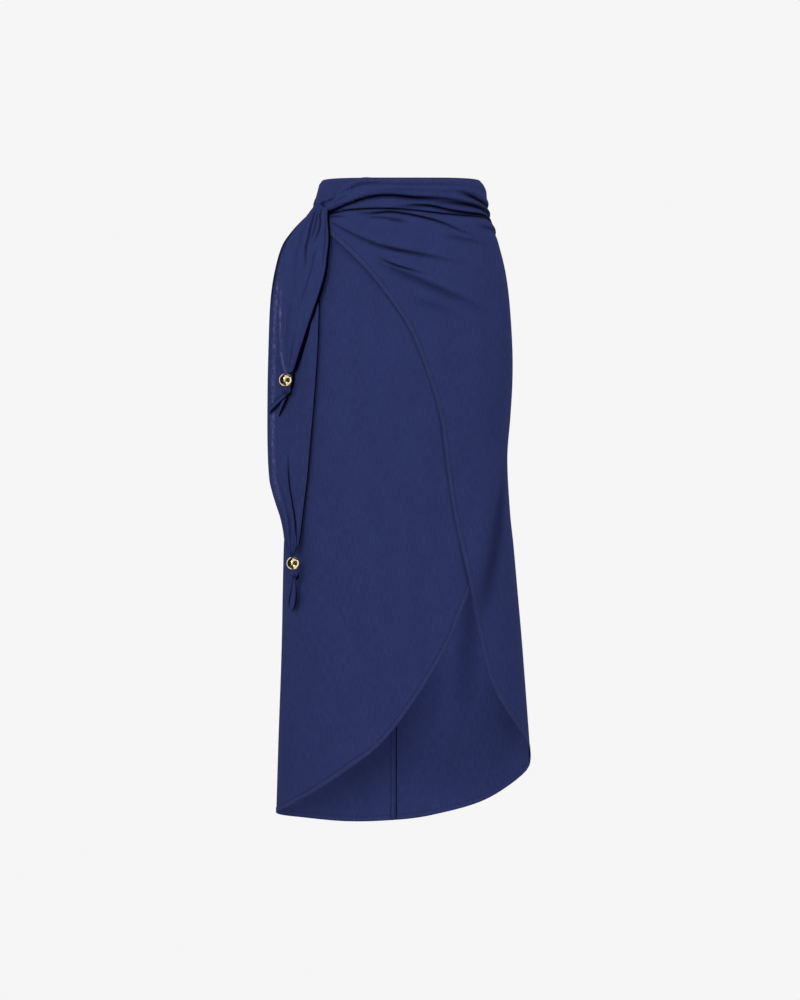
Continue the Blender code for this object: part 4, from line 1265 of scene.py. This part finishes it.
# Painted shade on an allowance at its raw edge and down by its seam, in millimetres from the seam
RAW_EDGE_DARK, RAW_EDGE_PLACE, RAW_EDGE_WIDTH = 0.35, 0.4, 0.7
SEAM_SIDE_DARK, SEAM_SIDE_FADE = 0.95, (0.2, 1.1)
# Stitches of a back's hem keep this many degrees away from its seams
SEAM_MARGIN = 0.3


def make_back(name, start, end, seed):
    sizes = bpy.context.scene.skirt_cloth
    columns, rows = BACK_GRID
    across = np.linspace(0.0, 1.0, columns + 1)[None, :]

    def place(down):
        angle = mix(start, end, across) + 0 * down
        return angle, read(BACK_HEM, 1, angle) * down

    def crowding(angle, drop):
        _, _, _, near = pulls(angle, drop)
        edge = read(BACK_HEM, 1, angle)
        crowd = 1.0 + 4.0 * near + 3.0 * (1 - smooth(*GATHERS_FADE, drop))
        return crowd + 4.0 * np.exp(-((drop / 0.006) ** 2)) + 6.0 * np.exp(-(((edge - drop) / 0.010) ** 2))

    down = rows_between(place, rows, crowding)
    angle, drop = place(down)
    angle = angle + (1 - 2 * across) * seam_angle(angle, drop)
    edge_angle = np.linspace(WRAP_SIDE, TIE_SIDE, BACK_EDGE_POINTS)
    edge_drop = read(BACK_HEM, 1, edge_angle)
    distance, along = to_edge(angle, drop, edge_angle, edge_drop)
    hem_out = hem(distance, along, sizes.hem, seed) + waist_hem(angle, drop, seed + 1)
    # Painted shade along the hems' stitch lines, and painted highlight on their raised folds
    seams = hem_dark(distance, along, sizes.hem, seed + 7)
    from_centre = np.abs(arc_of(angle) - arc_of(CENTRE_BACK))
    pucker = PUCKER_DEPTH * swells(drop / PUCKER_LENGTH, 0 * drop, seed + 2)
    pucker = pucker * np.exp(-((from_centre / PUCKER_REACH) ** 2))
    points, painted_shading = wall_point(angle, drop, hem_out + pucker)
    painted_shading = np.clip(painted_shading + BACK_DARK * seams, -1.0, 1.0)
    cloth = slubby_cloth("slubby_cloth")
    # The inner face and the allowances use a lighter copy of the cloth, as painted light
    inside = slubby_cloth("slubby_cloth_inside_painted_light", INSIDE_PAINTED_LIGHT)
    centre = arc_of(angle - CENTRE_BACK)
    # Painted shade along the centre back seam
    painted_shading = np.clip(painted_shading + CENTRE_DARK * np.exp(-((centre / CENTRE_DARK_WIDTH) ** 2)), -1.0, 1.0)
    grain = grain_of(angle, drop, BACK_GRAIN)
    panel = cloth_sheet(name + "_cloth", points, grain, painted_shading, cloth, wrong_side=inside)
    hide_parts(name)

    mine = (edge_angle > start + SEAM_MARGIN) & (edge_angle < end - SEAM_MARGIN)
    hem_angle, hem_drop = edge_angle[mine], edge_drop[mine]
    widths = EDGE_ROW_PLACE, sizes.hem - HEM_ROW_PLACE
    lines = [line_on(hem_angle, hem_drop - width, THREAD_LIFT) for width in widths]
    waist_row = np.full_like(hem_angle, sizes.waist_hem - HEM_ROW_PLACE)
    lines.append(line_on(hem_angle, waist_row, WAIST_THREAD_LIFT))
    thread = stitching(name + "_stitches", lines)

    columns, rows = ALLOWANCE_GRID
    for seam, side, reach in ((start, 1, WIDE_ALLOWANCE), (end, -1, NARROW_ALLOWANCE)):
        strip_across = np.linspace(*reach, columns)[None, :]
        bottom = float(read(BACK_HEM, 1, seam)) - ALLOWANCE_BOTTOM
        strip_drop = np.linspace(ALLOWANCE_TOP, bottom, rows)[:, None]
        strip_angle = seam + side * np.degrees(strip_across * MM / CLOTH_RADIUS) + 0 * strip_drop
        strip_drop = strip_drop + 0 * strip_across
        strip_out, strip_slide, _ = relief(strip_angle, strip_drop)
        ripple = np.abs(swells(strip_drop / 0.02, strip_across / 4.0, seed + 5))
        lie = -ALLOWANCE_UNDER - ALLOWANCE_RIPPLE * ripple
        lie = lie - (NARROW_UNDER if side < 0 else 0.0)
        strip = on_skirt(strip_angle, strip_drop + strip_slide, strip_out + lie)
        if side < 0:
            strip = strip[:, ::-1]
        raw_edge = (strip_across - reach[1] + RAW_EDGE_PLACE) / RAW_EDGE_WIDTH
        # Painted shade at the raw edge and beside the seam
        shade = np.maximum(
            RAW_EDGE_DARK * np.exp(-(raw_edge**2)),
            SEAM_SIDE_DARK * (1 - smooth(*SEAM_SIDE_FADE, strip_across)),
        )
        piece = cloth_sheet(
            f"{name}_allowance_{'wrap' if side > 0 else 'tie'}_side", strip,
            (strip_across * MM + ALLOWANCE_GRAIN, strip_drop), shade + 0 * strip_drop, inside,
            thickness=ALLOWANCE_THICKNESS,
        )


# ---------------------------------------------------------------------------------------------
# Knot and ties
# ---------------------------------------------------------------------------------------------


def pleats(table, along, across, width):
    """How pleats in a band move it out, and the painted shade in their grooves. width is the band's, in
    metres.
    """
    out = np.zeros(np.broadcast(along, across).shape)
    painted_shading = out.copy()
    for line, size, depth in table:
        start, end = line[0][0], line[-1][0]
        share = (along - start) / (end - start)
        fade = smooth(-0.05, 0.25, share) * (1 - smooth(0.70, 1.05, share))
        aside = (across - read(line, 1, along)) * width / MM / size
        groove = np.exp(-(np.abs(aside) ** 1.7))
        beside = np.exp(-((np.abs(aside) - 1.9) ** 2))
        out += fade * depth * (0.35 * beside - groove) * MM
        painted_shading = np.maximum(painted_shading, fade * groove * min(depth / 3.2, 1.0))
    return out, painted_shading


def hem_painted_highlight(distance, along, place, spread, seed):
    """Painted highlight along the raised ridge of a tie's narrow hem, in specks along it."""
    ridge = np.exp(-(((distance - place) / spread) ** 2))
    specks = 0.5 + 0.5 * swells(along / 0.0026, distance / 0.0012, seed)
    return TIE_HEM_PALE * ridge * specks**1.8


def close_to(x, drop, line, reach):
    """How close points are to a line of places (x, drop) in millimetres: 1 on it, 0 beyond reach."""
    best = np.full(np.broadcast(x, drop).shape, np.inf)
    for (x0, drop0), (x1, drop1) in zip(line, line[1:]):
        step_x, step_drop = x1 - x0, drop1 - drop0
        away_x, away_drop = x / MM - x0, drop / MM - drop0
        share = np.clip((away_x * step_x + away_drop * step_drop) / (step_x**2 + step_drop**2), 0.0, 1.0)
        best = np.minimum(best, np.hypot(away_x - share * step_x, away_drop - share * step_drop))
    return 1 - smooth(0.45 * reach, reach, best)


def turned_under(across):
    """A tie's right edge turns back under itself: how far round the turn a point is, and the place
    across the tie to use for it."""
    return np.clip((across - 1.0) / (TURN_SHARE - 1.0), 0.0, 1.0), np.minimum(across, 1.0)


def band_point(along, across):
    """The band over the knot and down the short tie: points, painted shade and highlights, and the place on
    the cloth.
    """
    turn, across = turned_under(across)
    tucked = np.clip(-across / (TURN_SHARE - 1.0), 0.0, 1.0)
    across = np.maximum(across, 0.0)
    outer_x, outer_drop = read(BAND, OUTER_X, along) * MM, read(BAND, OUTER_DROP, along) * MM
    inner_x, inner_drop = read(BAND, INNER_X, along) * MM, read(BAND, INNER_DROP, along) * MM
    width = np.hypot(inner_x - outer_x, inner_drop - outer_drop)
    x = mix(outer_x, inner_x, across)
    drop = mix(outer_drop, inner_drop, across)
    edge_out = read(BAND, BAND_OUT, along) * MM
    middle = 1 - np.abs(2 * across - 1) ** 3.2
    pleat_out, painted_shading = pleats(BAND_PLEATS, along, across, width)
    arc_row = ARC_ROW + ARC_BEND * np.clip(1 - across / 0.7, 0.0, 1.0) ** 2
    pit = PIT_DARK * np.exp(-(((along - PIT_ROW) / PIT_ROWS) ** 2) - ((across - PIT_ACROSS) / PIT_WIDTH) ** 2)
    valley = np.exp(-(((along - arc_row + 0.45) / 0.26) ** 2)) * (1 - smooth(0.40, 0.62, across))
    arc = np.exp(-(((along - arc_row - 0.12) / 0.24) ** 2)) * (1 - smooth(0.60, 0.88, across))
    loop = np.exp(-(((across - LOOP_ACROSS) / LOOP_WIDTH) ** 2)) * smooth(2.2, 3.6, along)
    loop = loop * (1 - smooth(-0.7, -0.1, along - arc_row))
    edge_light = (1 - smooth(0.0, 0.09, across)) * smooth(0.6, 1.4, along) * (1 - smooth(6.4, 7.2, along))
    # Painted shade in the pit and the valley; painted highlight on the arc and along the outer edge
    painted_shading = np.maximum(painted_shading, np.maximum(pit, VALLEY_DARK * valley))
    painted_shading = painted_shading - ARC_PALE * arc - TOP_EDGE_PALE * edge_light
    pleat_out = pleat_out - PIT_DEPTH * np.maximum(pit, VALLEY_SHARE * valley)
    pleat_out = pleat_out + ARC_HEIGHT * arc + LOOP_HEIGHT * loop
    out = edge_out + read(BAND, BAND_ROUND, along) * MM * middle
    laid, slide, _ = relief(angle_at(x, drop), drop)
    free = smooth(0.0, 2.4, along)
    out = mix(laid + 0.0005, out, free) + pleat_out * smooth(0.2, 1.6, along)
    drop = drop + slide * (1 - free)
    hem_distance = np.minimum(across, 1 - across) * width
    out = out + hem(hem_distance, along * HEM_ROW, TIE_HEM, 31) * smooth(9.0, 11.0, along)
    out = out + 0.0003 * swells(across * width / 0.006, along * 1.2, 32) * smooth(1.0, 2.0, along)
    fold = smooth(4.5, 5.3, along) * (1 - smooth(21.1, 21.6, along))
    x = x + read(SHORT_TURN, 1, along) * turn * fold
    out = out - TURN_DEPTH * turn**0.7 * fold
    out = out - np.maximum(out - 0.0035, 0.0) * tucked**0.8
    x = x + 0.0008 * tucked
    drop = drop + 0.0008 * tucked
    # Painted shade on the turned-under right edge
    painted_shading = np.maximum(painted_shading, smooth(0.04, 0.16, turn) * fold)
    # Painted highlight in specks along the ridge of the short tie's hem
    painted_highlight = hem_painted_highlight(across * width, along * HEM_ROW, 0.0036, 0.0016, 33)
    painted_shading = painted_shading - painted_highlight * smooth(13.6, 16.0, along)
    return on_ties(x, drop, out), painted_shading, (across * width + 0.004 * turn, along * WEAVE_ROW)


def make_knot():
    cloth = slubby_cloth("slubby_cloth")
    tucked = 1 - np.array(TURN_COLUMNS[::-1])
    across = np.concatenate([tucked, np.linspace(0.0, 1.0, BAND_ACROSS + 1), TURN_COLUMNS])[None, :]
    along = np.linspace(0.0, KNOT_ENDS - KNOT_GAP, KNOT_ALONG + 1)[:, None]
    points, painted_shading, grain = band_point(along, across)
    knot = cloth_sheet("knot_band", points, grain, painted_shading, cloth)
    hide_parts("tie_knot")

    columns, rows = ROOT_GRID
    share = np.linspace(0.0, 1.0, columns + 1)[None, :]
    up = np.linspace(0.0, 1.0, rows + 1)[::-1, None]
    top, bottom = read(ROOT, 1, share), read(ROOT, 2, share)
    ripple = ROOT_PLEAT * np.cos(2 * math.pi * ROOT_PLEATS * up) * smooth(0.0, 0.4, share)
    drop = mix(bottom, top, up)
    angle = mix(ROOT_START, ROOT_END, share) + 0 * drop
    points = on_skirt(angle, drop, read(ROOT, 3, share) + ripple)
    # Painted shade in the grooves of the root's pleats
    painted_shading = np.clip(-ripple / ROOT_PLEAT, 0, 1) * 0.7
    root = cloth_sheet("tie_root_cloth", points, (share * 0.05 + 0 * up, drop), painted_shading, cloth)
    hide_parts("tie_root")


def make_short_tie():
    cloth = slubby_cloth("slubby_cloth")
    across = np.append(np.linspace(0.0, 1.0, BAND_ACROSS + 1), TURN_COLUMNS)[None, :]
    along = np.linspace(KNOT_ENDS + KNOT_GAP, BAND_ENDS, SHORT_ALONG + 1)[:, None]
    points, painted_shading, grain = band_point(along, across)
    tie = cloth_sheet("short_tie_cloth", points, grain, painted_shading, cloth)
    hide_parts("short_tie")


def make_long_tie():
    cloth = slubby_cloth("slubby_cloth")
    columns, rows = LONG_GRID
    across = np.append(np.linspace(0.0, 1.0, columns + 1), TURN_COLUMNS)[None, :]
    turn, across = turned_under(across)
    drop = np.linspace(LONG_TIE[0][0], LONG_TIE[-1][0], rows + 1)[:, None]
    left, right = read(LONG_TIE, TIE_LEFT, drop), read(LONG_TIE, TIE_RIGHT, drop)
    width = right - left
    pleat_out, painted_shading = pleats(LONG_PLEATS, drop, across, width)
    ripple = read(LONG_TIE, TIE_RIPPLE, drop) * np.cos(2 * math.pi * 3.5 * across)
    out = TIE_LIFT + read(LONG_TIE, TIE_OUT, drop) + ripple + pleat_out
    hem_distance = np.minimum(across, 1 - across) * width
    out = out + hem(hem_distance, drop + 0 * across, TIE_HEM, 41) * (1 - smooth(0.50, 0.53, drop))
    fold = smooth(0.075, 0.100, drop) * (1 - smooth(0.525, 0.540, drop))
    # Painted shade on the turned-under right edge
    painted_shading = np.maximum(painted_shading, smooth(0.04, 0.25, turn) * fold)
    # Painted shade down the long tie's left edge, near its top, beside the short tie
    shade = smooth(0.060, 0.078, drop) * (1 - smooth(0.150, 0.215, drop))
    painted_shading = np.maximum(painted_shading, 0.85 * shade * (1 - smooth(0.0018, 0.0034, across * width)))
    # Painted highlight in specks along the ridge of the long tie's hem
    painted_highlight = hem_painted_highlight(across * width, drop + 0 * across, 0.0083, 0.0025, 43)
    painted_shading = painted_shading - painted_highlight * smooth(0.07, 0.12, drop) * (1 - smooth(0.43, 0.51, drop))
    x = mix(left, right, across)
    # Painted shadow beside the short tie's bead and knot
    for line, reach in UNDER_BEAD:
        close = close_to(x, drop, line, reach)
        painted_shading = np.where(close > 0, np.maximum(painted_shading, close), painted_shading)
    out = out - LONG_TURN_DEPTH * turn**0.7 * fold
    points = on_ties(x + LONG_TURN * turn * fold, drop + 0 * across, out)
    tie = cloth_sheet("long_tie_cloth", points, (across * width, drop + 0 * across), painted_shading, cloth)
    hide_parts("long_tie")


def make_tie_end(name, table, tails):
    """The knotted end under a bead: its stem, a small overhand knot and folded tails of cloth."""
    cloth = slubby_cloth("slubby_cloth")
    lifted = [(place, drop, out + TIE_LIFT, wide, deep) for place, drop, out, wide, deep in table]
    rolls = [tube(*roll_sections(lifted))]
    rolls += [tail(rows, folds_away) for rows, folds_away in tails]
    end = rolls_of_cloth(name + "_cloth", rolls, cloth)
    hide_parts(name)


def make_bead(name, table):
    """A bead turned from one profile, with a rounded rim at each end of its hole."""
    place, drop, out, _, _ = table[0]
    rim = math.asin(BEAD_HOLE / BEAD_RADIUS)
    profile = []
    for turn in np.linspace(rim + RIM_TURN, math.pi - rim - RIM_TURN, BEAD_STEPS):
        profile.append((BEAD_RADIUS * math.sin(turn), BEAD_RADIUS * math.cos(turn)))
    low = BEAD_RADIUS * math.cos(rim)
    profile += [(BEAD_HOLE + wider, -low + inward) for wider, inward in BEAD_RIM]
    profile += [(BEAD_HOLE + wider, low - inward) for wider, inward in reversed(BEAD_RIM)]
    centre = on_ties(np.float64(place), np.float64(drop), np.float64(out + TIE_LIFT))
    turns = np.linspace(0.0, 2 * math.pi, BEAD_SIDES, endpoint=False)
    points = np.array(
        [[(r * math.cos(t), r * math.sin(t), z) for t in turns] for r, z in [*profile, profile[0]]]
    )
    mesh = grid_mesh(name, points + centre, wrapped=True)
    turn_outward(mesh, merge=SAME_POINT)
    bead = new_piece(name + "_gold", mesh, polished_gold(), METAL_SLOT)
    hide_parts(name)


# ---------------------------------------------------------------------------------------------
# Stage
# ---------------------------------------------------------------------------------------------

UPRIGHT = math.pi / 2
# Lights: name, place, what they point at, and size. Their powers are settings.
LIGHTS = (
    ("key", (-1.9, -3.0, 1.5), (0.0, 0.0, -0.4), (0.8, 0.8)),
    ("fill", (0.1, -4.3, 0.4), (0.0, 0.0, -0.35), (1.0, 1.0)),
    ("side", (2.4, -2.2, 0.1), (0.0, 0.0, -0.4), (0.8, 0.8)),
    ("tie_side", (-2.4, -2.2, -0.7), (-0.1, 0.0, -0.6), (0.8, 0.8)),
    ("hem_light", (0.15, -0.9, -1.3), (0.06, 0.12, -0.70), (0.4, 0.4)),
    ("inside_light", (0.030, -0.030, -0.610), (0.112, 0.050, -0.650), (0.05, 0.14)),
)
# Cards: name, place, turn, size, tone, and which material sees them
CARDS = (
    ("front_flag", (0.0, -5.2, -0.5), (UPRIGHT, 0.0, 0.0), (9.0, 4.0), 0.12, "cloth"),
    ("low_flag", (0.0, -0.9, -1.5), (0.0, 0.0, 0.0), (3.8, 3.8), 0.25, "cloth"),
    ("side_flag", (-1.5, -0.62, -0.3), (UPRIGHT, 0.0, UPRIGHT), (3.1, 14.0), 0.015, "metal"),
    ("small_flag", (0.89, -1.31, -0.80), (UPRIGHT, 0.0, 0.77), (3.3, 3.3), 0.05, "metal"),
    ("top_card", (0.6, 1.2, 2.0), (0.0, 0.0, 0.0), (5.0, 2.4), 0.05, "metal"),
    ("back_card", (0.59, 1.20, -0.6), (UPRIGHT, 0.0, 2.62), (1.4, 2.6), 0.03, "metal"),
    ("bright_card", (1.19, 0.26, -0.6), (UPRIGHT, 0.0, 1.83), (0.8, 2.2), 1.25, "metal"),
    ("low_card", (-1.5, -0.8, -1.6), (0.0, 0.0, 0.0), (3.0, 2.8), 0.06, "metal"),
)


def make_floor():
    stage = bpy.context.scene.skirt_stage
    shape = bmesh.new()
    bmesh.ops.create_circle(shape, cap_ends=True, segments=96, radius=stage.floor_radius)
    mesh = bpy.data.meshes.new("studio_floor")
    shape.to_mesh(mesh)
    shape.free()
    mesh.materials.append(glowing_paint("floor_paper", stage.floor_colour))
    floor = bpy.data.objects.new("studio_floor", mesh)
    floor.location = (0.0, 0.0, -stage.floor_below)
    bpy.context.scene.collection.objects.link(floor)


def make_card(name, location, rotation, size, tone, seen_by):
    """A card that the camera doesn't see, and only the cloth or only the metal does. A dark one takes
    light away from that side, and a bright one adds some."""
    shape = bmesh.new()
    bmesh.ops.create_grid(shape, x_segments=1, y_segments=1, size=0.5)
    mesh = bpy.data.meshes.new(name)
    shape.to_mesh(mesh)
    shape.free()
    mesh.materials.append(glowing_paint(name + "_felt", (tone, tone, tone)))
    card = bpy.data.objects.new(name, mesh)
    card.location = location
    card.rotation_euler = rotation
    card.scale = (*size, 1.0)
    card.visible_camera = False
    card.visible_shadow = False
    card.visible_diffuse = seen_by != "metal"
    card.visible_glossy = seen_by != "cloth"
    bpy.context.scene.collection.objects.link(card)


def make_light(name, location, aim, size, energy):
    light = bpy.data.lights.new(name, "AREA")
    light.shape = "RECTANGLE"
    light.size, light.size_y = size
    light.energy = energy
    lamp = bpy.data.objects.new(name, light)
    lamp.location = location
    direction = np.array(aim) - np.array(location)
    flat = math.hypot(direction[0], direction[1])
    lamp.rotation_euler = (
        math.atan2(flat, -direction[2]), 0.0, math.atan2(-direction[0], direction[1]),
    )
    lamp.visible_camera = False
    bpy.context.scene.collection.objects.link(lamp)


def make_camera():
    stage = bpy.context.scene.skirt_stage
    data = bpy.data.cameras.new("camera")
    data.sensor_width = 36.0
    data.lens = data.sensor_width * stage.camera_distance / stage.view_height
    data.clip_end = 100.0
    camera = bpy.data.objects.new("camera", data)
    camera.location = (stage.camera_side, -stage.camera_distance, stage.camera_height)
    camera.rotation_euler = (UPRIGHT, 0.0, 0.0)
    bpy.context.scene.collection.objects.link(camera)
    bpy.context.scene.camera = camera


def make_world():
    world = bpy.data.worlds.new("studio_air")
    bpy.context.scene.world = world
    world.use_nodes = True
    back = world.node_tree.nodes["Background"]
    back.inputs["Color"].default_value = (*bpy.context.scene.skirt_stage.air_colour, 1.0)
    back.inputs["Strength"].default_value = bpy.context.scene.skirt_stage.air_strength


# ---------------------------------------------------------------------------------------------
# Add-on: settings, operators and panel
# ---------------------------------------------------------------------------------------------


class SkirtCloth(bpy.types.PropertyGroup):
    colour: bpy.props.FloatVectorProperty(
        name="Cloth colour", description="Mean colour of the cloth", subtype="COLOR", size=3,
        min=0.0, max=1.0, default=(0.0214, 0.0289, 0.0970),
    )
    roughness: bpy.props.FloatProperty(
        name="Roughness", description="How matte the cloth is", subtype="FACTOR", default=0.88,
        min=0.0, max=1.0,
    )
    sheen: bpy.props.FloatProperty(
        name="Sheen", description="Soft light caught by the cloth's fibres", subtype="FACTOR",
        default=0.03, min=0.0, max=1.0,
    )
    fleck_strength: bpy.props.FloatProperty(
        name="Flecks", description="How much the uneven threads differ in tone", subtype="FACTOR",
        default=0.20, min=0.0, max=1.0,
    )
    weave_relief: bpy.props.FloatProperty(
        name="Weave relief", description="How strongly the threads stand out", subtype="FACTOR",
        default=0.35, min=0.0, max=1.0,
    )
    thickness: bpy.props.FloatProperty(
        name="Thickness", description="Thickness of one layer of cloth", unit="LENGTH", default=0.0006,
        min=0.0002, max=0.0012,
    )
    hem: bpy.props.FloatProperty(
        name="Hem", description="Width of the stitched hems of the free edges", unit="LENGTH",
        default=0.008, min=0.004, max=0.015,
    )
    waist_hem: bpy.props.FloatProperty(
        name="Waist hem", description="Width of the stitched hem of the waist", unit="LENGTH",
        default=0.007, min=0.004, max=0.015,
    )
    crease_depth: bpy.props.FloatProperty(
        name="Crease depth", description="Depth of the pulled creases, as a share of their usual depth",
        subtype="FACTOR", default=1.0, min=0.0, max=1.3,
    )


class SkirtBeads(bpy.types.PropertyGroup):
    colour: bpy.props.FloatVectorProperty(
        name="Metal colour", description="Colour of the polished metal", subtype="COLOR", size=3,
        min=0.0, max=1.0, default=(0.88, 0.70, 0.38),
    )
    roughness: bpy.props.FloatProperty(
        name="Roughness", description="How blurred the metal's reflections are", subtype="FACTOR",
        default=0.08, min=0.0, max=1.0,
    )


class SkirtStage(bpy.types.PropertyGroup):
    floor_colour: bpy.props.FloatVectorProperty(
        name="Floor colour", description="Colour of the studio floor", subtype="COLOR", size=3,
        min=0.0, max=1.0, default=(0.92, 0.92, 0.92),
    )
    floor_below: bpy.props.FloatProperty(
        name="Floor depth", description="How far the floor lies below the waist", unit="LENGTH",
        default=1.7, min=1.0, max=3.0,
    )
    floor_radius: bpy.props.FloatProperty(
        name="Floor radius", description="Radius of the studio floor", unit="LENGTH", default=60.0,
        min=5.0, max=200.0,
    )
    air_colour: bpy.props.FloatVectorProperty(
        name="Air colour", description="Colour of the light from all round", subtype="COLOR", size=3,
        min=0.0, max=1.0, default=(1.0, 1.0, 1.0),
    )
    air_strength: bpy.props.FloatProperty(
        name="Air strength", description="Strength of the light from all round", default=0.92, min=0.0,
        max=5.0,
    )
    key_power: bpy.props.FloatProperty(
        name="Key light", description="Power of the soft light, front left", unit="POWER",
        default=40.0, min=0.0, max=2000.0,
    )
    fill_power: bpy.props.FloatProperty(
        name="Fill light", description="Power of the light beside the camera", unit="POWER",
        default=52.0, min=0.0, max=2000.0,
    )
    side_power: bpy.props.FloatProperty(
        name="Side light", description="Power of the light on the wrap side", unit="POWER", default=12.0,
        min=0.0, max=2000.0,
    )
    tie_power: bpy.props.FloatProperty(
        name="Tie light", description="Power of the low light on the tie side", unit="POWER", default=6.0,
        min=0.0, max=2000.0,
    )
    hem_power: bpy.props.FloatProperty(
        name="Hem light", description="Power of the light below the hem", unit="POWER", default=1.1,
        min=0.0, max=2000.0,
    )
    inside_power: bpy.props.FloatProperty(
        name="Inside light", description="Power of the small light that hangs inside the skirt",
        unit="POWER", default=0.20, min=0.0, max=100.0,
    )
    camera_distance: bpy.props.FloatProperty(
        name="Camera distance", description="From the camera to the waist ring's centre plane",
        unit="LENGTH", default=4.0, min=1.0, max=20.0,
    )
    camera_height: bpy.props.FloatProperty(
        name="Camera height", description="Height of the camera over the origin", unit="LENGTH",
        default=-0.4493, min=-3.0, max=3.0,
    )
    camera_side: bpy.props.FloatProperty(
        name="Camera side", description="Sideways place of the camera", unit="LENGTH",
        default=-0.0015, min=-1.0, max=1.0,
    )
    view_height: bpy.props.FloatProperty(
        name="View height", description="Height of the view at the waist ring's centre plane",
        unit="LENGTH", default=1.4775, min=0.5, max=5.0,
    )


class MakeUnderFront(bpy.types.Operator):
    """Make the front panel that lies underneath"""

    bl_idname = "wrap_skirt.under_front"
    bl_label = "Under front"

    def execute(self, context):
        make_under_front()
        return {"FINISHED"}


class MakeOverFront(bpy.types.Operator):
    """Make the gathered front panel that wraps over to the knot"""

    bl_idname = "wrap_skirt.over_front"
    bl_label = "Over front"

    def execute(self, context):
        make_over_front()
        return {"FINISHED"}


class MakeBacks(bpy.types.Operator):
    """Make the two back panels and their seam allowances"""

    bl_idname = "wrap_skirt.backs"
    bl_label = "Back panels"

    def execute(self, context):
        make_back("back_right", WRAP_SIDE, CENTRE_BACK, 51)
        make_back("back_left", CENTRE_BACK, TIE_SIDE, 61)
        return {"FINISHED"}


class MakeKnot(bpy.types.Operator):
    """Make the knot and the band that leads to it"""

    bl_idname = "wrap_skirt.knot"
    bl_label = "Knot"

    def execute(self, context):
        make_knot()
        return {"FINISHED"}


class MakeTies(bpy.types.Operator):
    """Make the two hanging ties with their knotted ends"""

    bl_idname = "wrap_skirt.ties"
    bl_label = "Ties"

    def execute(self, context):
        make_tie_end("short_tie_end", SHORT_END, SHORT_TAILS)
        make_tie_end("long_tie_end", LONG_END, LONG_TAILS)
        make_short_tie()
        make_long_tie()
        return {"FINISHED"}


class MakeBeads(bpy.types.Operator):
    """Make the two metal beads"""

    bl_idname = "wrap_skirt.beads"
    bl_label = "Beads"

    def execute(self, context):
        make_bead("short_bead", SHORT_END)
        make_bead("long_bead", LONG_END)
        return {"FINISHED"}


class MakeStage(bpy.types.Operator):
    """Make the floor, the lights, the cards and the camera"""

    bl_idname = "wrap_skirt.stage"
    bl_label = "Stage"

    def execute(self, context):
        stage = context.scene.skirt_stage
        context.scene.view_settings.view_transform = "Standard"
        make_camera()
        make_world()
        make_floor()
        powers = (stage.key_power, stage.fill_power, stage.side_power, stage.tie_power,
                  stage.hem_power, stage.inside_power)
        for light, power in zip(LIGHTS, powers):
            make_light(*light, power)
        for card in CARDS:
            make_card(*card)
        return {"FINISHED"}


class SkirtPanel(bpy.types.Panel):
    """Settings and steps of the wrap skirt"""

    bl_idname = "VIEW3D_PT_wrap_skirt"
    bl_label = "Wrap Skirt"
    bl_space_type = "VIEW_3D"
    bl_region_type = "UI"
    bl_category = "Wrap Skirt"

    def draw(self, context):
        layout = self.layout
        for group in ("skirt_cloth", "skirt_beads", "skirt_stage"):
            box = layout.box()
            settings = getattr(context.scene, group)
            for name in type(settings).__annotations__:
                box.prop(settings, name)
        for operator in STEPS:
            layout.operator(operator.bl_idname)


STEPS = (MakeUnderFront, MakeOverFront, MakeBacks, MakeKnot, MakeTies, MakeBeads, MakeStage)
CLASSES = (SkirtCloth, SkirtBeads, SkirtStage, *STEPS, SkirtPanel)


def register():
    for item in CLASSES:
        bpy.utils.register_class(item)
    bpy.types.Scene.skirt_cloth = bpy.props.PointerProperty(type=SkirtCloth)
    bpy.types.Scene.skirt_beads = bpy.props.PointerProperty(type=SkirtBeads)
    bpy.types.Scene.skirt_stage = bpy.props.PointerProperty(type=SkirtStage)


def unregister():
    del bpy.types.Scene.skirt_stage
    del bpy.types.Scene.skirt_beads
    del bpy.types.Scene.skirt_cloth
    for item in reversed(CLASSES):
        bpy.utils.unregister_class(item)


def main():
    register()
    bpy.ops.wrap_skirt.under_front()
    bpy.ops.wrap_skirt.over_front()
    bpy.ops.wrap_skirt.backs()
    bpy.ops.wrap_skirt.knot()
    bpy.ops.wrap_skirt.ties()
    bpy.ops.wrap_skirt.beads()
    bpy.ops.wrap_skirt.stage()


if __name__ == "__main__":
    main()
